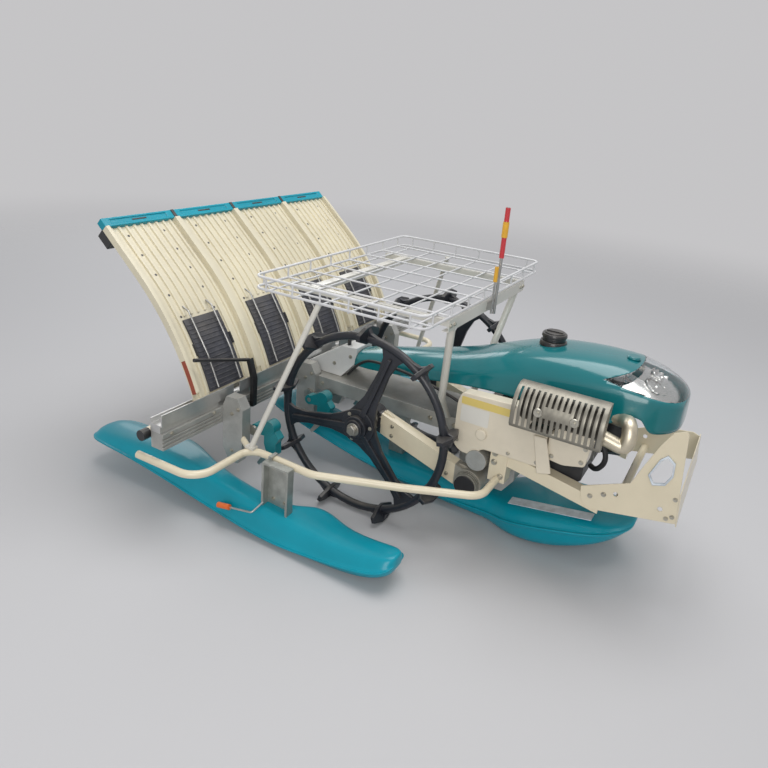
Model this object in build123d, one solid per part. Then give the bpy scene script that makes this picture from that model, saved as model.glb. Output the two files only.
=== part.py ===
from build123d import *
from math import asin, cos, degrees, hypot, radians, sin
import os

# Walk-behind rice transplanter for four rows, in millimetres.
# +X is forward, +Y is the machine's left and +Z is up. The origin is on the ground,
# under the middle of the box around the whole machine.

# Overall and row sizes
NOSE_X = 1070.0
GRIP_END_X = -1070.0
ROW_PITCH = 300.0
ROW_COUNT = 4
GUARD_Y = 783.0

# Clearances
SEAT_GAP = 0.3
RUN_GAP = 0.05
SWEEP_GAP = 6.0

# Lugged wheels
WHEEL_X = 95.0
TREAD = 600.0
RING_R = 300.0
RING_TUBE_R = 11.0
LUG_COUNT = 9
LUG_TIP_R = 340.0
LUG_ROOT_R = 284.0
LUG_HALF_LENGTH = 60.0
LUG_HALF_CREST = 14.0
LUG_END_HEIGHT = 18.0
LUG_THICK = 10.0
SPOKE_COUNT = 3
SPOKE_HUB_WIDTH = 58.0
SPOKE_RING_WIDTH = 34.0
SPOKE_THICK = 7.0
SPOKE_RIB_WIDTH = 12.0
SPOKE_RIB_HEIGHT = 9.0
HUB_DISH = 50.0
HUB_R = 38.0
HUB_LENGTH = 60.0
AXLE_R = 14.0
NUT_R = 17.0
NUT_THICK = 14.0
WASHER_R = 22.0
WASHER_THICK = 4.0

# Wheel swing cases and their pivot on the transmission
PIVOT_X = 460.0
PIVOT_Z = 205.0
PIVOT_R = 30.0
CASE_PIVOT_R = 46.0
CASE_AXLE_R = 40.0
CASE_INNER_Y = 190.0
CASE_THICK = 44.0
CASE_RIM = 7.0
CASE_PANEL_DEPTH = 6.0
CASE_END_WALL = 4.0
AXLE_DEPTH = 35.0
BOOT_R = 34.0
BOOT_LENGTH = 24.0
AXLE_BOSS_R = 27.0
AXLE_BOSS_LENGTH = 12.0

# Transmission, engine and their frame
CASE_HALF_WIDTH = 120.0
CASE_TOP_Z = 390.0
CASE_BOTTOM_Z = 150.0
CLUTCH_X = 480.0
CLUTCH_Z = 295.0
CLUTCH_R = 34.0
CLUTCH_END_Y = 240.0
ENGINE_BASE_Z = 300.0
ENGINE_REAR_X = 486.0
ENGINE_FRONT_X = 790.0
ENGINE_HALF_WIDTH = 170.0
ENGINE_SHOULDER_Z = 474.0
TANK_HALF_WIDTH = 116.0
TANK_REAR_X = 540.0
TANK_TOP_Z = 596.0
FRAME_TUBE = 44.0
FRAME_Y = 200.0
FRAME_REAR_X = 530.0
FRAME_REAR_Z = 331.0
FRAME_FRONT_X = 860.0
FRAME_FRONT_Z = 269.0
FRAME_PLATE = 8.0
BUMPER_PLATE = 4.0
# x and z of the holes through the bumper's side plates
TIE_HOLES = [(900.0, 330.0), (1020.0, 330.0)]
TIE_HOLE_R = 7.0

# Hood, and its sections from the rear to the nose:
# x, half width at the bottom, half width at the top, bottom z, top z
HOOD_WALL = 3.0
HOOD_CORNER_R = 26.0
HOOD_SECTIONS = [
    (-85.0, 72.0, 52.0, 415.0, 474.0),
    (0.0, 80.0, 60.0, 425.0, 488.0),
    (180.0, 100.0, 78.0, 440.0, 515.0),
    (360.0, 142.0, 100.0, 470.0, 558.0),
    (525.0, 165.0, 128.0, 496.0, 624.0),
    (713.0, 168.0, 132.0, 503.0, 653.0),
    (894.0, 160.0, 120.0, 505.0, 638.0),
    (1014.0, 136.0, 84.0, 497.0, 572.0),
]
LENS_REAR_X = 740.0
LENS_REAR_Z = 652.0
LENS_FRONT_Z = 573.0
CAP_X = 595.0
CAP_R = 30.0
CAP_TOP_Z = 664.0

# Planting frame across the rear
BEAM_HALF_LENGTH = 775.0
BEAM_FRONT_X = -300.0
BEAM_REAR_X = -350.0
BEAM_BOTTOM_Z = 290.0
BEAM_TOP_Z = 344.0
MAIN_BEAM_HALF_WIDTH = 100.0
MAIN_BEAM_TOP_Z = 344.0
MAIN_BEAM_DEPTH = 54.0
MAIN_BEAM_WALL = 6.0
RAIL_FLOOR_Z = 366.0
RAIL_WALL = 4.0
RAIL_FRONT_X = -303.0
RAIL_REAR_X = -352.0
RAIL_LIP_Z = 406.0
CLAW_SLOT = 30.0
CROSS_TUBE_R = 17.0
CROSS_TUBE_X = -375.0
CROSS_TUBE_Z = 325.0
PLANT_CASE_OFFSET = 50.0
PLANT_CASE_THICK = 40.0
PLANT_CASE_FRONT_X = -218.0

# Planting cranks and arms
CRANK_X = -240.0
CRANK_Z = 270.0
CRANK_THROW = 30.0
CRANK_SHAFT_R = 12.0
CRANK_DISC_R = 20.0
CRANK_DISC_THICK = 9.0
CRANK_PIN_R = 8.0
ARM_THICK = 30.0
ARM_BOSS_R = 18.0
CLAW_THICK = 3.0

# Seedling tray: an arc at the foot, then a straight slope
TRAY_FOOT_X = -327.0
TRAY_FOOT_Z = 391.0
TRAY_FOOT_ANGLE = 69.4
TRAY_TOP_ANGLE = 41.6
TRAY_ARC_R = 892.0
TRAY_LENGTH = 622.0
TRAY_OFFSET_Y = -20.0
TRAY_SHEET = 4.0
RIB_COUNT = 9
RIB_WIDTH = 9.0
RIB_HEIGHT = 6.0
DIVIDER_WIDTH = 22.0
DIVIDER_HEIGHT = 20.0
DIVIDER_START = 24.0
EDGE_WIDTH = 14.0
BELT_WIDTH = 156.0
BELT_LENGTH = 244.0
BELT_START = 8.0
BELT_RISE = 5.0
BELT_DEPTH = 8.0
TRAY_CAP_LENGTH = 34.0
TRAY_CAP_RISE = 14.0
TRAY_CAP_DROP = 12.0
ROD_R = 3.0
ROD_RISE = 17.0
ROD_SPREAD = 52.0
SHOE_WIDTH = 24.0
GUIDE_R = 12.0
GUIDE_AT = 520.0
GUIDE_DROP = 48.0

# Spare seedling rack
RACK_REAR_X = -221.0
RACK_FRONT_X = 374.0
RACK_HALF_WIDTH = 479.0
RACK_TOP_Z = 798.0
RACK_FLOOR_Z = 757.0
RACK_RIM_R = 4.0
RACK_WIRE_R = 3.0
RACK_CORNER_R = 30.0
RACK_BEAM_Y = 310.0
RACK_BEAM = 20.0
RACK_LEG_R = 12.0
STAY_R = 9.0

# Floats
SIDE_FLOAT_LIP = 6.0
LIP_OVERHANG = 9.0

# Guard tubes
GUARD_R = 12.0
GUARD_Z = 250.0

# Handlebars
HANDLE_Y = 290.0
HANDLE_R = 16.0
GRIP_R = 21.0
GRIP_LENGTH = 120.0

ROWS = [ROW_PITCH * (i - (ROW_COUNT - 1) / 2) for i in range(ROW_COUNT)]
SIDES = (-1, 1)
HALF_STEP = radians(180 / LUG_COUNT)
AXLE_Z = LUG_TIP_R * cos(HALF_STEP) + LUG_THICK / 2 * sin(HALF_STEP)
WHEEL_Y = TREAD / 2


def block(x0, x1, y0, y1, z0, z1):
    """A block between two corners."""
    centre = Pos((x0 + x1) / 2, (y0 + y1) / 2, (z0 + z1) / 2)
    return centre * Box(abs(x1 - x0), abs(y1 - y0), abs(z1 - z0))


def rod(start, end, radius):
    """A round bar from one point to another."""
    run = Vector(*end) - Vector(*start)
    foot = (Align.CENTER, Align.CENTER, Align.MIN)
    return Plane(origin=start, z_dir=run) * Cylinder(radius, run.length, align=foot)


def drum(x, z, radius, y0, y1):
    """A round bar across the machine, between two values of y."""
    return rod((x, min(y0, y1), z), (x, max(y0, y1), z), radius)


def side_plate(outline, y0, y1):
    """A plate cut to an outline of (x, z) points, between two values of y."""
    low = min(y0, y1)
    face = make_face(Polyline(*[(x, low, z) for x, z in outline], close=True))
    return extrude(face, amount=abs(y1 - y0), dir=(0, 1, 0))


def bent_tube(points, bends, radius):
    """A round tube along straight runs joined by tangent arcs."""
    path = FilletPolyline(*points, radius=bends)
    section = Plane(origin=path @ 0, z_dir=path % 0) * Circle(radius)
    return sweep(section, path=path)


def other_side(shape):
    """The same piece on the machine's other side."""
    return mirror(shape, about=Plane.XZ)


def both_sides(shape):
    """A piece and its mirror image, as one set."""
    return shape + other_side(shape)


def save(shape, name, label_color=None):
    """Write one piece to its own file."""
    shape.label = name
    export_step(shape, f"parts/{name}.step")


os.makedirs("parts", exist_ok=True)


# Lugged wheel: a round ring, crosswise lugs and three dished spokes
def wheel_plane():
    """The right wheel's plane: x forward, y up, and z outward."""
    return Plane(origin=(WHEEL_X, -WHEEL_Y, AXLE_Z), x_dir=(1, 0, 0), z_dir=(0, -1, 0))


def wheel_lug():
    """One lug that stands across the ring and narrows to both ends."""
    middle = (LUG_ROOT_R + LUG_TIP_R) / 2
    points = [
        (-LUG_HALF_LENGTH, middle - LUG_END_HEIGHT / 2),
        (-LUG_HALF_CREST, LUG_ROOT_R),
        (LUG_HALF_CREST, LUG_ROOT_R),
        (LUG_HALF_LENGTH, middle - LUG_END_HEIGHT / 2),
        (LUG_HALF_LENGTH, middle + LUG_END_HEIGHT / 2),
        (LUG_HALF_CREST, LUG_TIP_R),
        (-LUG_HALF_CREST, LUG_TIP_R),
        (-LUG_HALF_LENGTH, middle + LUG_END_HEIGHT / 2),
    ]
    face = make_face(Polyline(*[(r, 0, across) for across, r in points], close=True))
    return extrude(face, amount=LUG_THICK / 2, both=True)


def spoke_part(hub_width, ring_width, inner, outer):
    """A tapered bar from the dished hub out to the ring, between two heights."""
    ends = []
    for radius, dish, width in ((HUB_R - 6, HUB_DISH, hub_width), (RING_R - RING_TUBE_R + 2, 0, ring_width)):
        plane = Plane(origin=(radius, 0, dish + (inner + outer) / 2), x_dir=(0, 1, 0), z_dir=(1, 0, 0))
        ends.append(plane * Rectangle(width, outer - inner))
    return loft(ends, ruled=True)


def make_wheel():
    """Ring, lugs, spokes and hub of the right wheel."""
    wheel = Torus(RING_R, RING_TUBE_R)
    for i in range(LUG_COUNT):
        wheel += Rot(0, 0, -90 + (i + 0.5) * 360 / LUG_COUNT) * wheel_lug()
    half = SPOKE_THICK / 2
    spoke = spoke_part(SPOKE_HUB_WIDTH, SPOKE_RING_WIDTH, -half, half)
    spoke += spoke_part(SPOKE_RIB_WIDTH * 1.5, SPOKE_RIB_WIDTH, half, half + SPOKE_RIB_HEIGHT)
    for i in range(SPOKE_COUNT):
        wheel += Rot(0, 0, -90 + 360 / LUG_COUNT + i * 360 / SPOKE_COUNT) * spoke
    wheel += Pos(0, 0, HUB_DISH) * Cylinder(HUB_R, HUB_LENGTH)
    wheel -= Pos(0, 0, HUB_DISH) * Cylinder(AXLE_R + SEAT_GAP / 2, HUB_LENGTH + 2)
    return wheel_plane() * wheel


def make_axle():
    """The right wheel's axle shaft, with the washer and nut at its outer end."""
    inner_y = CASE_INNER_Y + CASE_THICK - AXLE_DEPTH
    hub_end = HUB_DISH + HUB_LENGTH / 2
    inner = inner_y - WHEEL_Y
    foot = (Align.CENTER, Align.CENTER, Align.MIN)
    nut = extrude(RegularPolygon(NUT_R, 6), amount=NUT_THICK)
    shaft = Pos(0, 0, inner) * Cylinder(AXLE_R, hub_end - inner + WASHER_THICK + NUT_THICK + 5, align=foot)
    shaft += Pos(0, 0, hub_end) * Cylinder(WASHER_R, WASHER_THICK, align=foot)
    shaft += Pos(0, 0, hub_end + WASHER_THICK) * nut
    return wheel_plane() * shaft


def make_swing_case():
    """The right chain case that carries the wheel's axle and swings on the transmission."""
    outer_y = -(CASE_INNER_Y + CASE_THICK)
    plane = Plane(origin=(0, outer_y, 0), x_dir=(1, 0, 0), z_dir=(0, -1, 0))
    rings = Pos(PIVOT_X, PIVOT_Z) * Circle(CASE_PIVOT_R).edge() + Pos(WHEEL_X, AXLE_Z) * Circle(CASE_AXLE_R).edge()
    outline = make_hull(rings.edges())
    inset = Pos(PIVOT_X, PIVOT_Z) * Circle(CASE_PIVOT_R - CASE_RIM).edge()
    inset += Pos(WHEEL_X, AXLE_Z) * Circle(CASE_AXLE_R - CASE_RIM).edge()
    case = extrude(plane * outline, amount=-CASE_THICK)
    case -= extrude(plane * make_hull(inset.edges()), amount=-CASE_PANEL_DEPTH)
    case += drum(WHEEL_X, AXLE_Z, AXLE_BOSS_R, outer_y - AXLE_BOSS_LENGTH, outer_y + CASE_PANEL_DEPTH)
    case += drum(PIVOT_X, PIVOT_Z, BOOT_R, outer_y - BOOT_LENGTH, outer_y + CASE_PANEL_DEPTH)
    axle_end = outer_y + AXLE_DEPTH + 1
    case -= drum(WHEEL_X, AXLE_Z, AXLE_R + RUN_GAP, outer_y - AXLE_BOSS_LENGTH - 1, axle_end)
    case -= drum(PIVOT_X, PIVOT_Z, PIVOT_R + RUN_GAP, outer_y + CASE_END_WALL, -CASE_INNER_Y + 1)
    return case


wheel_right = make_wheel()
axle_right = make_axle()
swing_right = make_swing_case()
for name, piece in (("wheel", wheel_right), ("axle", axle_right), ("swing_case", swing_right)):
    save(piece, f"{name}_right")
    save(other_side(piece), f"{name}_left")


# Transmission case with its two output sleeves
case_outline = [
    (380, 190), (400, CASE_BOTTOM_Z), (540, CASE_BOTTOM_Z), (575, 200), (575, ENGINE_BASE_Z),
    (ENGINE_REAR_X - 6, ENGINE_BASE_Z), (470, CASE_TOP_Z), (400, CASE_TOP_Z), (380, 350),
]
transmission = side_plate(case_outline, -CASE_HALF_WIDTH, CASE_HALF_WIDTH)
sleeve_end = CASE_INNER_Y + CASE_THICK - CASE_END_WALL - SEAT_GAP
transmission += drum(PIVOT_X, PIVOT_Z, PIVOT_R, -sleeve_end, sleeve_end)
transmission += drum(PIVOT_X, PIVOT_Z, PIVOT_R + 14, -CASE_INNER_Y + 2, CASE_INNER_Y - 2)
transmission += drum(CLUTCH_X, CLUTCH_Z, CLUTCH_R, -CLUTCH_END_Y, 0)
save(transmission, "transmission_case")

# Engine as one plain heavy block: crankcase below, cylinder and tank above
engine = block(ENGINE_REAR_X, ENGINE_FRONT_X, -ENGINE_HALF_WIDTH, ENGINE_HALF_WIDTH, ENGINE_BASE_Z, ENGINE_SHOULDER_Z)
engine += block(TANK_REAR_X, ENGINE_FRONT_X, -TANK_HALF_WIDTH, TANK_HALF_WIDTH, ENGINE_SHOULDER_Z, TANK_TOP_Z)
engine = fillet(engine.edges().filter_by(Axis.Y), 12)
engine -= drum(CLUTCH_X, CLUTCH_Z, CLUTCH_R + SEAT_GAP, -ENGINE_HALF_WIDTH - 1, 1)
save(engine, "engine_block")


# Engine frame: two sloping square tubes, a cross plate and a socket block at the rear
def frame_z(x):
    """Height of the frame tube's centreline."""
    fall = (FRAME_REAR_Z - FRAME_FRONT_Z) / (FRAME_FRONT_X - FRAME_REAR_X)
    return FRAME_REAR_Z - (x - FRAME_REAR_X) * fall


half_tube = FRAME_TUBE / 2
frame_outline = [
    (FRAME_REAR_X, FRAME_REAR_Z - half_tube), (FRAME_FRONT_X, FRAME_FRONT_Z - half_tube),
    (FRAME_FRONT_X, FRAME_FRONT_Z + half_tube), (FRAME_REAR_X, FRAME_REAR_Z + half_tube),
]
frame_side = side_plate(frame_outline, -FRAME_Y - half_tube, -FRAME_Y + half_tube)
frame_side += block(520, 575.5, -FRAME_Y - half_tube - 4, -FRAME_Y + half_tube + 4, 240, 355)
frame_side += block(530, 565, -FRAME_Y, -CASE_HALF_WIDTH, 240, 290)
engine_frame = both_sides(frame_side)
engine_frame += block(600, 770, -FRAME_Y, FRAME_Y, ENGINE_BASE_Z - FRAME_PLATE, ENGINE_BASE_Z)
save(engine_frame, "engine_frame")

# Front bumper: two side plates, a front plate and a cross tube
bumper_outer = FRAME_Y + half_tube + BUMPER_PLATE
bumper_outline = [
    (800, 274), (812, 241), (1066, 285), (1043, 574), (1021, 541), (995, 362), (878, 354),
]
bumper = both_sides(side_plate(bumper_outline, -bumper_outer, -bumper_outer + BUMPER_PLATE))
front_outline = [(NOSE_X - BUMPER_PLATE, 285), (NOSE_X, 285), (NOSE_X - 23, 574), (NOSE_X - 27, 574)]
bumper += side_plate(front_outline, -bumper_outer, bumper_outer)
bumper += drum(905, 290, 12, -bumper_outer + 2, bumper_outer - 2)
for x, z in TIE_HOLES:
    bumper -= drum(x, z, TIE_HOLE_R, -bumper_outer - 1, bumper_outer + 1)
save(bumper, "front_bumper")


# Hood: a thin shell over the engine, lofted through its sections
def hood_section(x, half_bottom, half_top, bottom, top, inset):
    """One cross section of the hood, with rounded shoulders."""
    radius = HOOD_CORNER_R - inset
    points = [
        (-half_bottom + inset, bottom), (half_bottom - inset, bottom),
        (half_top - inset, top - inset), (-half_top + inset, top - inset),
    ]
    plane = Plane(origin=(x, 0, 0), x_dir=(0, 1, 0), z_dir=(1, 0, 0))
    sketch = make_face(Polyline(*points, close=True))
    shoulders = sketch.vertices().sort_by(Axis.Y)[-2:]
    return plane * fillet(shoulders, radius)


def hood_loft(inset, stretch):
    """The hood's body through all its sections, drawn in by a wall."""
    faces = []
    for x, half_bottom, half_top, bottom, top in HOOD_SECTIONS:
        faces.append(hood_section(x, half_bottom, half_top, bottom - stretch, top, inset))
    return loft(faces, ruled=True)


hood = hood_loft(0, 0)
inside = hood_loft(HOOD_WALL, 2)
inside &= block(HOOD_SECTIONS[0][0] - 5, HOOD_SECTIONS[-1][0] - HOOD_WALL, -300, 300, 300, 800)
hood -= inside
hood -= Pos(CAP_X, 0, TANK_TOP_Z + 50) * Cylinder(CAP_R + SEAT_GAP, 100)
lens_outline = [(LENS_REAR_X, LENS_REAR_Z), (1030, LENS_FRONT_Z), (1030, 700), (LENS_REAR_X, 700)]
lens_zone = side_plate(lens_outline, -200, 200)
save(hood - lens_zone, "hood")
save(hood & lens_zone, "headlamp")
reflector_outline = [
    (LENS_REAR_X + 40, LENS_REAR_Z - 14), (1010, LENS_FRONT_Z + 6), (1010, LENS_FRONT_Z + 8), (930, 605), (850, 634), (850, 628),
    (LENS_REAR_X + 40, LENS_REAR_Z - 11),
]
reflector = side_plate(reflector_outline, -200, 200) & hood_loft(HOOD_WALL + SEAT_GAP, 0)
save(reflector & block(700, HOOD_SECTIONS[-1][0] - HOOD_WALL - SEAT_GAP, -200, 200, 400, 700), "lamp_reflector")

# Fuel cap that stands through the hood on the tank's neck
cap_low = TANK_TOP_Z
fuel_cap = rod((CAP_X, 0, cap_low), (CAP_X, 0, CAP_TOP_Z), CAP_R)
fuel_cap += rod((CAP_X, 0, CAP_TOP_Z - 2), (CAP_X, 0, CAP_TOP_Z + 9), 9)
save(fuel_cap, "fuel_cap")

# Covers on the engine's right side
cover_outline = [
    (446, 408), (470, 392), (676, 392), (676, 468), (590, 472), (590, 548), (470, 548), (446, 524),
]
engine_cover = side_plate(cover_outline, -292, -ENGINE_HALF_WIDTH)
engine_cover -= block(462, 580, -289, -ENGINE_HALF_WIDTH + 1, 400, 540)
panel_outline = [(680, 365), (830, 365), (830, 466), (770, 466), (760, 440), (720, 440), (710, 466), (680, 466)]
lower_panel = side_plate(panel_outline, -275, -ENGINE_HALF_WIDTH)
save(Compound(children=[engine_cover, lower_panel]), "engine_covers")


# Muffler under its slotted guard
MUFFLER_Y = -270.0
MUFFLER_Z = 548.0
MUFFLER_R = 50.0
GUARD_SHELL_R = 70.0
SHELL_WALL = 2.0
SLOT_PITCH = 16.0
muffler = rod((612, MUFFLER_Y, MUFFLER_Z), (834, MUFFLER_Y, MUFFLER_Z), MUFFLER_R)
muffler += bent_tube([(830, MUFFLER_Y, MUFFLER_Z + 15), (892, MUFFLER_Y, MUFFLER_Z + 15), (905, MUFFLER_Y - 30, MUFFLER_Z - 20)], 20, 15)
muffler += block(640, 700, MUFFLER_Y, -TANK_HALF_WIDTH - 10, ENGINE_SHOULDER_Z, ENGINE_SHOULDER_Z + 18)
muffler += block(640, 700, MUFFLER_Y - 20, MUFFLER_Y + 20, ENGINE_SHOULDER_Z, MUFFLER_Z)
save(muffler, "muffler")


def guard_shell(radius, x0, x1):
    """A half-round body with a flat foot, along the muffler."""
    plane = Plane(origin=(x0, MUFFLER_Y, MUFFLER_Z), x_dir=(0, 1, 0), z_dir=(1, 0, 0))
    sketch = Circle(radius) + Pos(0, -radius / 2) * Rectangle(2 * radius, radius)
    return extrude(plane * sketch, amount=x1 - x0)


muffler_guard = guard_shell(GUARD_SHELL_R, 596, 850) - guard_shell(GUARD_SHELL_R - SHELL_WALL, 598, 848)
muffler_guard -= block(590, 860, MUFFLER_Y + 10, -100, 400, 700)
muffler_guard -= block(590, 860, MUFFLER_Y - 100, 0, 400, MUFFLER_Z - GUARD_SHELL_R + SHELL_WALL)
muffler_guard -= rod((840, MUFFLER_Y, MUFFLER_Z + 15), (860, MUFFLER_Y, MUFFLER_Z + 15), 15.5)
for i in range(15):
    x = 723 + (i - 7) * SLOT_PITCH
    length = 34 if 5 <= i < 10 else 60
    slot = Pos(x, MUFFLER_Y - 60, MUFFLER_Z + 60) * Rot(45, 0, 0) * Box(6, length, 90)
    muffler_guard -= slot
    muffler_guard -= block(x - 3, x + 3, MUFFLER_Y - 90, MUFFLER_Y - 40, MUFFLER_Z - 52, MUFFLER_Z - 4)
save(muffler_guard, "muffler_guard")

# Main beam from the transmission back to the planting frame
main_beam = block(BEAM_FRONT_X, 380, -MAIN_BEAM_HALF_WIDTH, MAIN_BEAM_HALF_WIDTH, BEAM_BOTTOM_Z, MAIN_BEAM_TOP_Z)
main_beam -= block(
    BEAM_FRONT_X + MAIN_BEAM_WALL, 380 - MAIN_BEAM_WALL,
    -MAIN_BEAM_HALF_WIDTH + MAIN_BEAM_WALL, MAIN_BEAM_HALF_WIDTH - MAIN_BEAM_WALL,
    BEAM_BOTTOM_Z - 1, MAIN_BEAM_TOP_Z - MAIN_BEAM_WALL,
)
save(main_beam, "main_beam")

# Sloping cover over the links between the beam and the hood
LINK_HALF_WIDTH = 55.0
link_outline = [(-296, MAIN_BEAM_TOP_Z), (-150, MAIN_BEAM_TOP_Z), (-88, 412), (-88, 470), (-150, 466), (-296, 372)]
link_cover = side_plate(link_outline, -LINK_HALF_WIDTH, LINK_HALF_WIDTH)
save(link_cover, "link_cover")

# Ribbed beam across the rear
planting_beam = block(BEAM_REAR_X, BEAM_FRONT_X, -BEAM_HALF_LENGTH, BEAM_HALF_LENGTH, BEAM_BOTTOM_Z, BEAM_TOP_Z)
for z in (300, 312, 324):
    for y0, y1 in ((-BEAM_HALF_LENGTH - 1, -530), (-470, -130), (130, 470), (530, BEAM_HALF_LENGTH + 1)):
        planting_beam -= block(BEAM_FRONT_X - 4, BEAM_FRONT_X + 1, y0, y1, z, z + 6)
save(planting_beam, "planting_beam")

# Rail that carries the tray's foot, with a slot in its front lip at each row
rail_outline = [
    (RAIL_REAR_X, BEAM_TOP_Z), (RAIL_FRONT_X - 8, BEAM_TOP_Z), (RAIL_FRONT_X - 8, RAIL_FLOOR_Z),
    (RAIL_FRONT_X, RAIL_FLOOR_Z), (RAIL_FRONT_X, RAIL_LIP_Z), (RAIL_FRONT_X - RAIL_WALL, RAIL_LIP_Z),
    (RAIL_FRONT_X - RAIL_WALL, RAIL_FLOOR_Z + RAIL_WALL), (RAIL_REAR_X + RAIL_WALL, RAIL_FLOOR_Z + RAIL_WALL),
    (RAIL_REAR_X + RAIL_WALL, RAIL_FLOOR_Z + 20), (RAIL_REAR_X, RAIL_FLOOR_Z + 20),
]
tray_rail = side_plate(rail_outline, -BEAM_HALF_LENGTH, BEAM_HALF_LENGTH)
for row in ROWS:
    tray_rail -= block(RAIL_FRONT_X - 12, RAIL_FRONT_X + 1, row - CLAW_SLOT / 2, row + CLAW_SLOT / 2, RAIL_FLOOR_Z - 1, RAIL_LIP_Z + 1)
save(tray_rail, "tray_rail")

# Round cross tube behind the beam, on bracket plates
CROSS_TUBE_END = 793.0
cross_tube = drum(CROSS_TUBE_X, CROSS_TUBE_Z, CROSS_TUBE_R, -CROSS_TUBE_END, CROSS_TUBE_END)
for y in (-740, -290, 290, 740):
    cross_tube += block(CROSS_TUBE_X, BEAM_REAR_X, y - 4, y + 4, 296, 340)
save(cross_tube, "cross_tube")


# Planting cases that hang in front of the beam, one beside each row
def case_side(row):
    """Side of the row on which its case stands: outward at the outer rows."""
    outer = abs(row) > ROW_PITCH
    away = 1 if row > 0 else -1
    return away if outer else -away


plant_outline = [
    (BEAM_FRONT_X, 352), (-286, 386), (-240, 388), (PLANT_CASE_FRONT_X, 352), (PLANT_CASE_FRONT_X, 200),
    (-236, 157), (-272, 155), (BEAM_FRONT_X, 200),
]
cases = []
for row in ROWS:
    middle = row + case_side(row) * PLANT_CASE_OFFSET
    case = side_plate(plant_outline, middle - PLANT_CASE_THICK / 2, middle + PLANT_CASE_THICK / 2)
    if abs(row) < ROW_PITCH:
        case -= block(BEAM_FRONT_X - 1, 0, -MAIN_BEAM_HALF_WIDTH - 0.5, MAIN_BEAM_HALF_WIDTH + 0.5, BEAM_BOTTOM_Z - 0.5, MAIN_BEAM_TOP_Z + 0.5)
    inner_face = middle - case_side(row) * PLANT_CASE_THICK / 2
    case -= drum(CRANK_X, CRANK_Z, CRANK_SHAFT_R + RUN_GAP, inner_face - 24, inner_face + 24)
    cases.append(case)
save(Compound(children=cases), "planting_cases")


# Cranks on the cases, and the planting arms on the cranks' pins
def crank_piece(row):
    """Shaft, web and pin of one crank, at rest with its pin forward."""
    side = case_side(row)
    face = row + side * (PLANT_CASE_OFFSET - PLANT_CASE_THICK / 2)
    web0 = face - side * 1
    web1 = web0 - side * CRANK_DISC_THICK
    pin_x = CRANK_X + CRANK_THROW
    crank = drum(CRANK_X, CRANK_Z, CRANK_SHAFT_R, face + side * 22, web0)
    crank += drum(CRANK_X, CRANK_Z, CRANK_DISC_R, web0, web1) + drum(pin_x, CRANK_Z, CRANK_DISC_R - 4, web0, web1)
    crank += block(CRANK_X, pin_x, web0, web1, CRANK_Z - 15, CRANK_Z + 15)
    crank += drum(pin_x, CRANK_Z, CRANK_PIN_R, web1, row - side * ARM_THICK / 2)
    return crank


def arm_piece(row):
    """Cast arm with its two-pronged claw."""
    pin_x = CRANK_X + CRANK_THROW
    half = ARM_THICK / 2
    arm = drum(pin_x, CRANK_Z, ARM_BOSS_R, row - half, row + half)
    arm += side_plate([(pin_x, 284), (-160, 312), (-140, 262), (pin_x, 254)], row - half, row + half)
    arm += drum(-152, 292, 23, row - half - 3, row + half + 3)
    arm += side_plate([(-172, 285), (-132, 285), (-112, 262), (-124, 240), (-122, 200), (-160, 196), (-172, 230)], row - half, row + half)
    for prong in SIDES:
        y = row + prong * 7
        arm += side_plate([(-160, 214), (-146, 196), (-196, 138), (-204, 146)], y - CLAW_THICK / 2, y + CLAW_THICK / 2)
    arm -= drum(pin_x, CRANK_Z, CRANK_PIN_R + RUN_GAP, row - 40, row + 40)
    return arm


save(Compound(children=[crank_piece(row) for row in ROWS]), "planting_cranks")
save(Compound(children=[arm_piece(row) for row in ROWS]), "planting_arms")


# Seedling tray, drawn by distance along its slope and height above it
ARC_LENGTH = TRAY_ARC_R * radians(TRAY_FOOT_ANGLE - TRAY_TOP_ANGLE)


def tray_point(along, height):
    """The (x, z) place at a distance up the slope and a height above it."""
    on_arc = min(along, ARC_LENGTH)
    angle = radians(TRAY_FOOT_ANGLE) - on_arc / TRAY_ARC_R
    foot = radians(TRAY_FOOT_ANGLE)
    centre_x = TRAY_FOOT_X - TRAY_ARC_R * sin(foot)
    centre_z = TRAY_FOOT_Z - TRAY_ARC_R * cos(foot)
    reach = TRAY_ARC_R + height
    rest = along - on_arc
    x = centre_x + reach * sin(angle) - rest * cos(angle)
    z = centre_z + reach * cos(angle) + rest * sin(angle)
    return x, z


def tray_strip(start, end, low, high, y0, y1):
    """A strip on the slope, between two distances, two heights and two values of y."""
    def edge(height, a, b):
        points = [tray_point(s, height) for s in (a, (a + b) / 2, b)]
        return [(x, y0, z) for x, z in points]

    spans = [(start, end)]
    if start < ARC_LENGTH < end:
        spans = [(start, ARC_LENGTH), (ARC_LENGTH, end)]
    lines = []
    for height in (low, high):
        for a, b in spans:
            p = edge(height, a, b)
            lines.append(ThreePointArc(*p) if a < ARC_LENGTH else Line(p[0], p[2]))
    for s in (start, end):
        p = [tray_point(s, h) for h in (low, high)]
        lines.append(Line((p[0][0], y0, p[0][1]), (p[1][0], y0, p[1][1])))
    face = make_face(Curve() + lines)
    return extrude(face, amount=y1 - y0, dir=(0, 1, 0))


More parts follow.
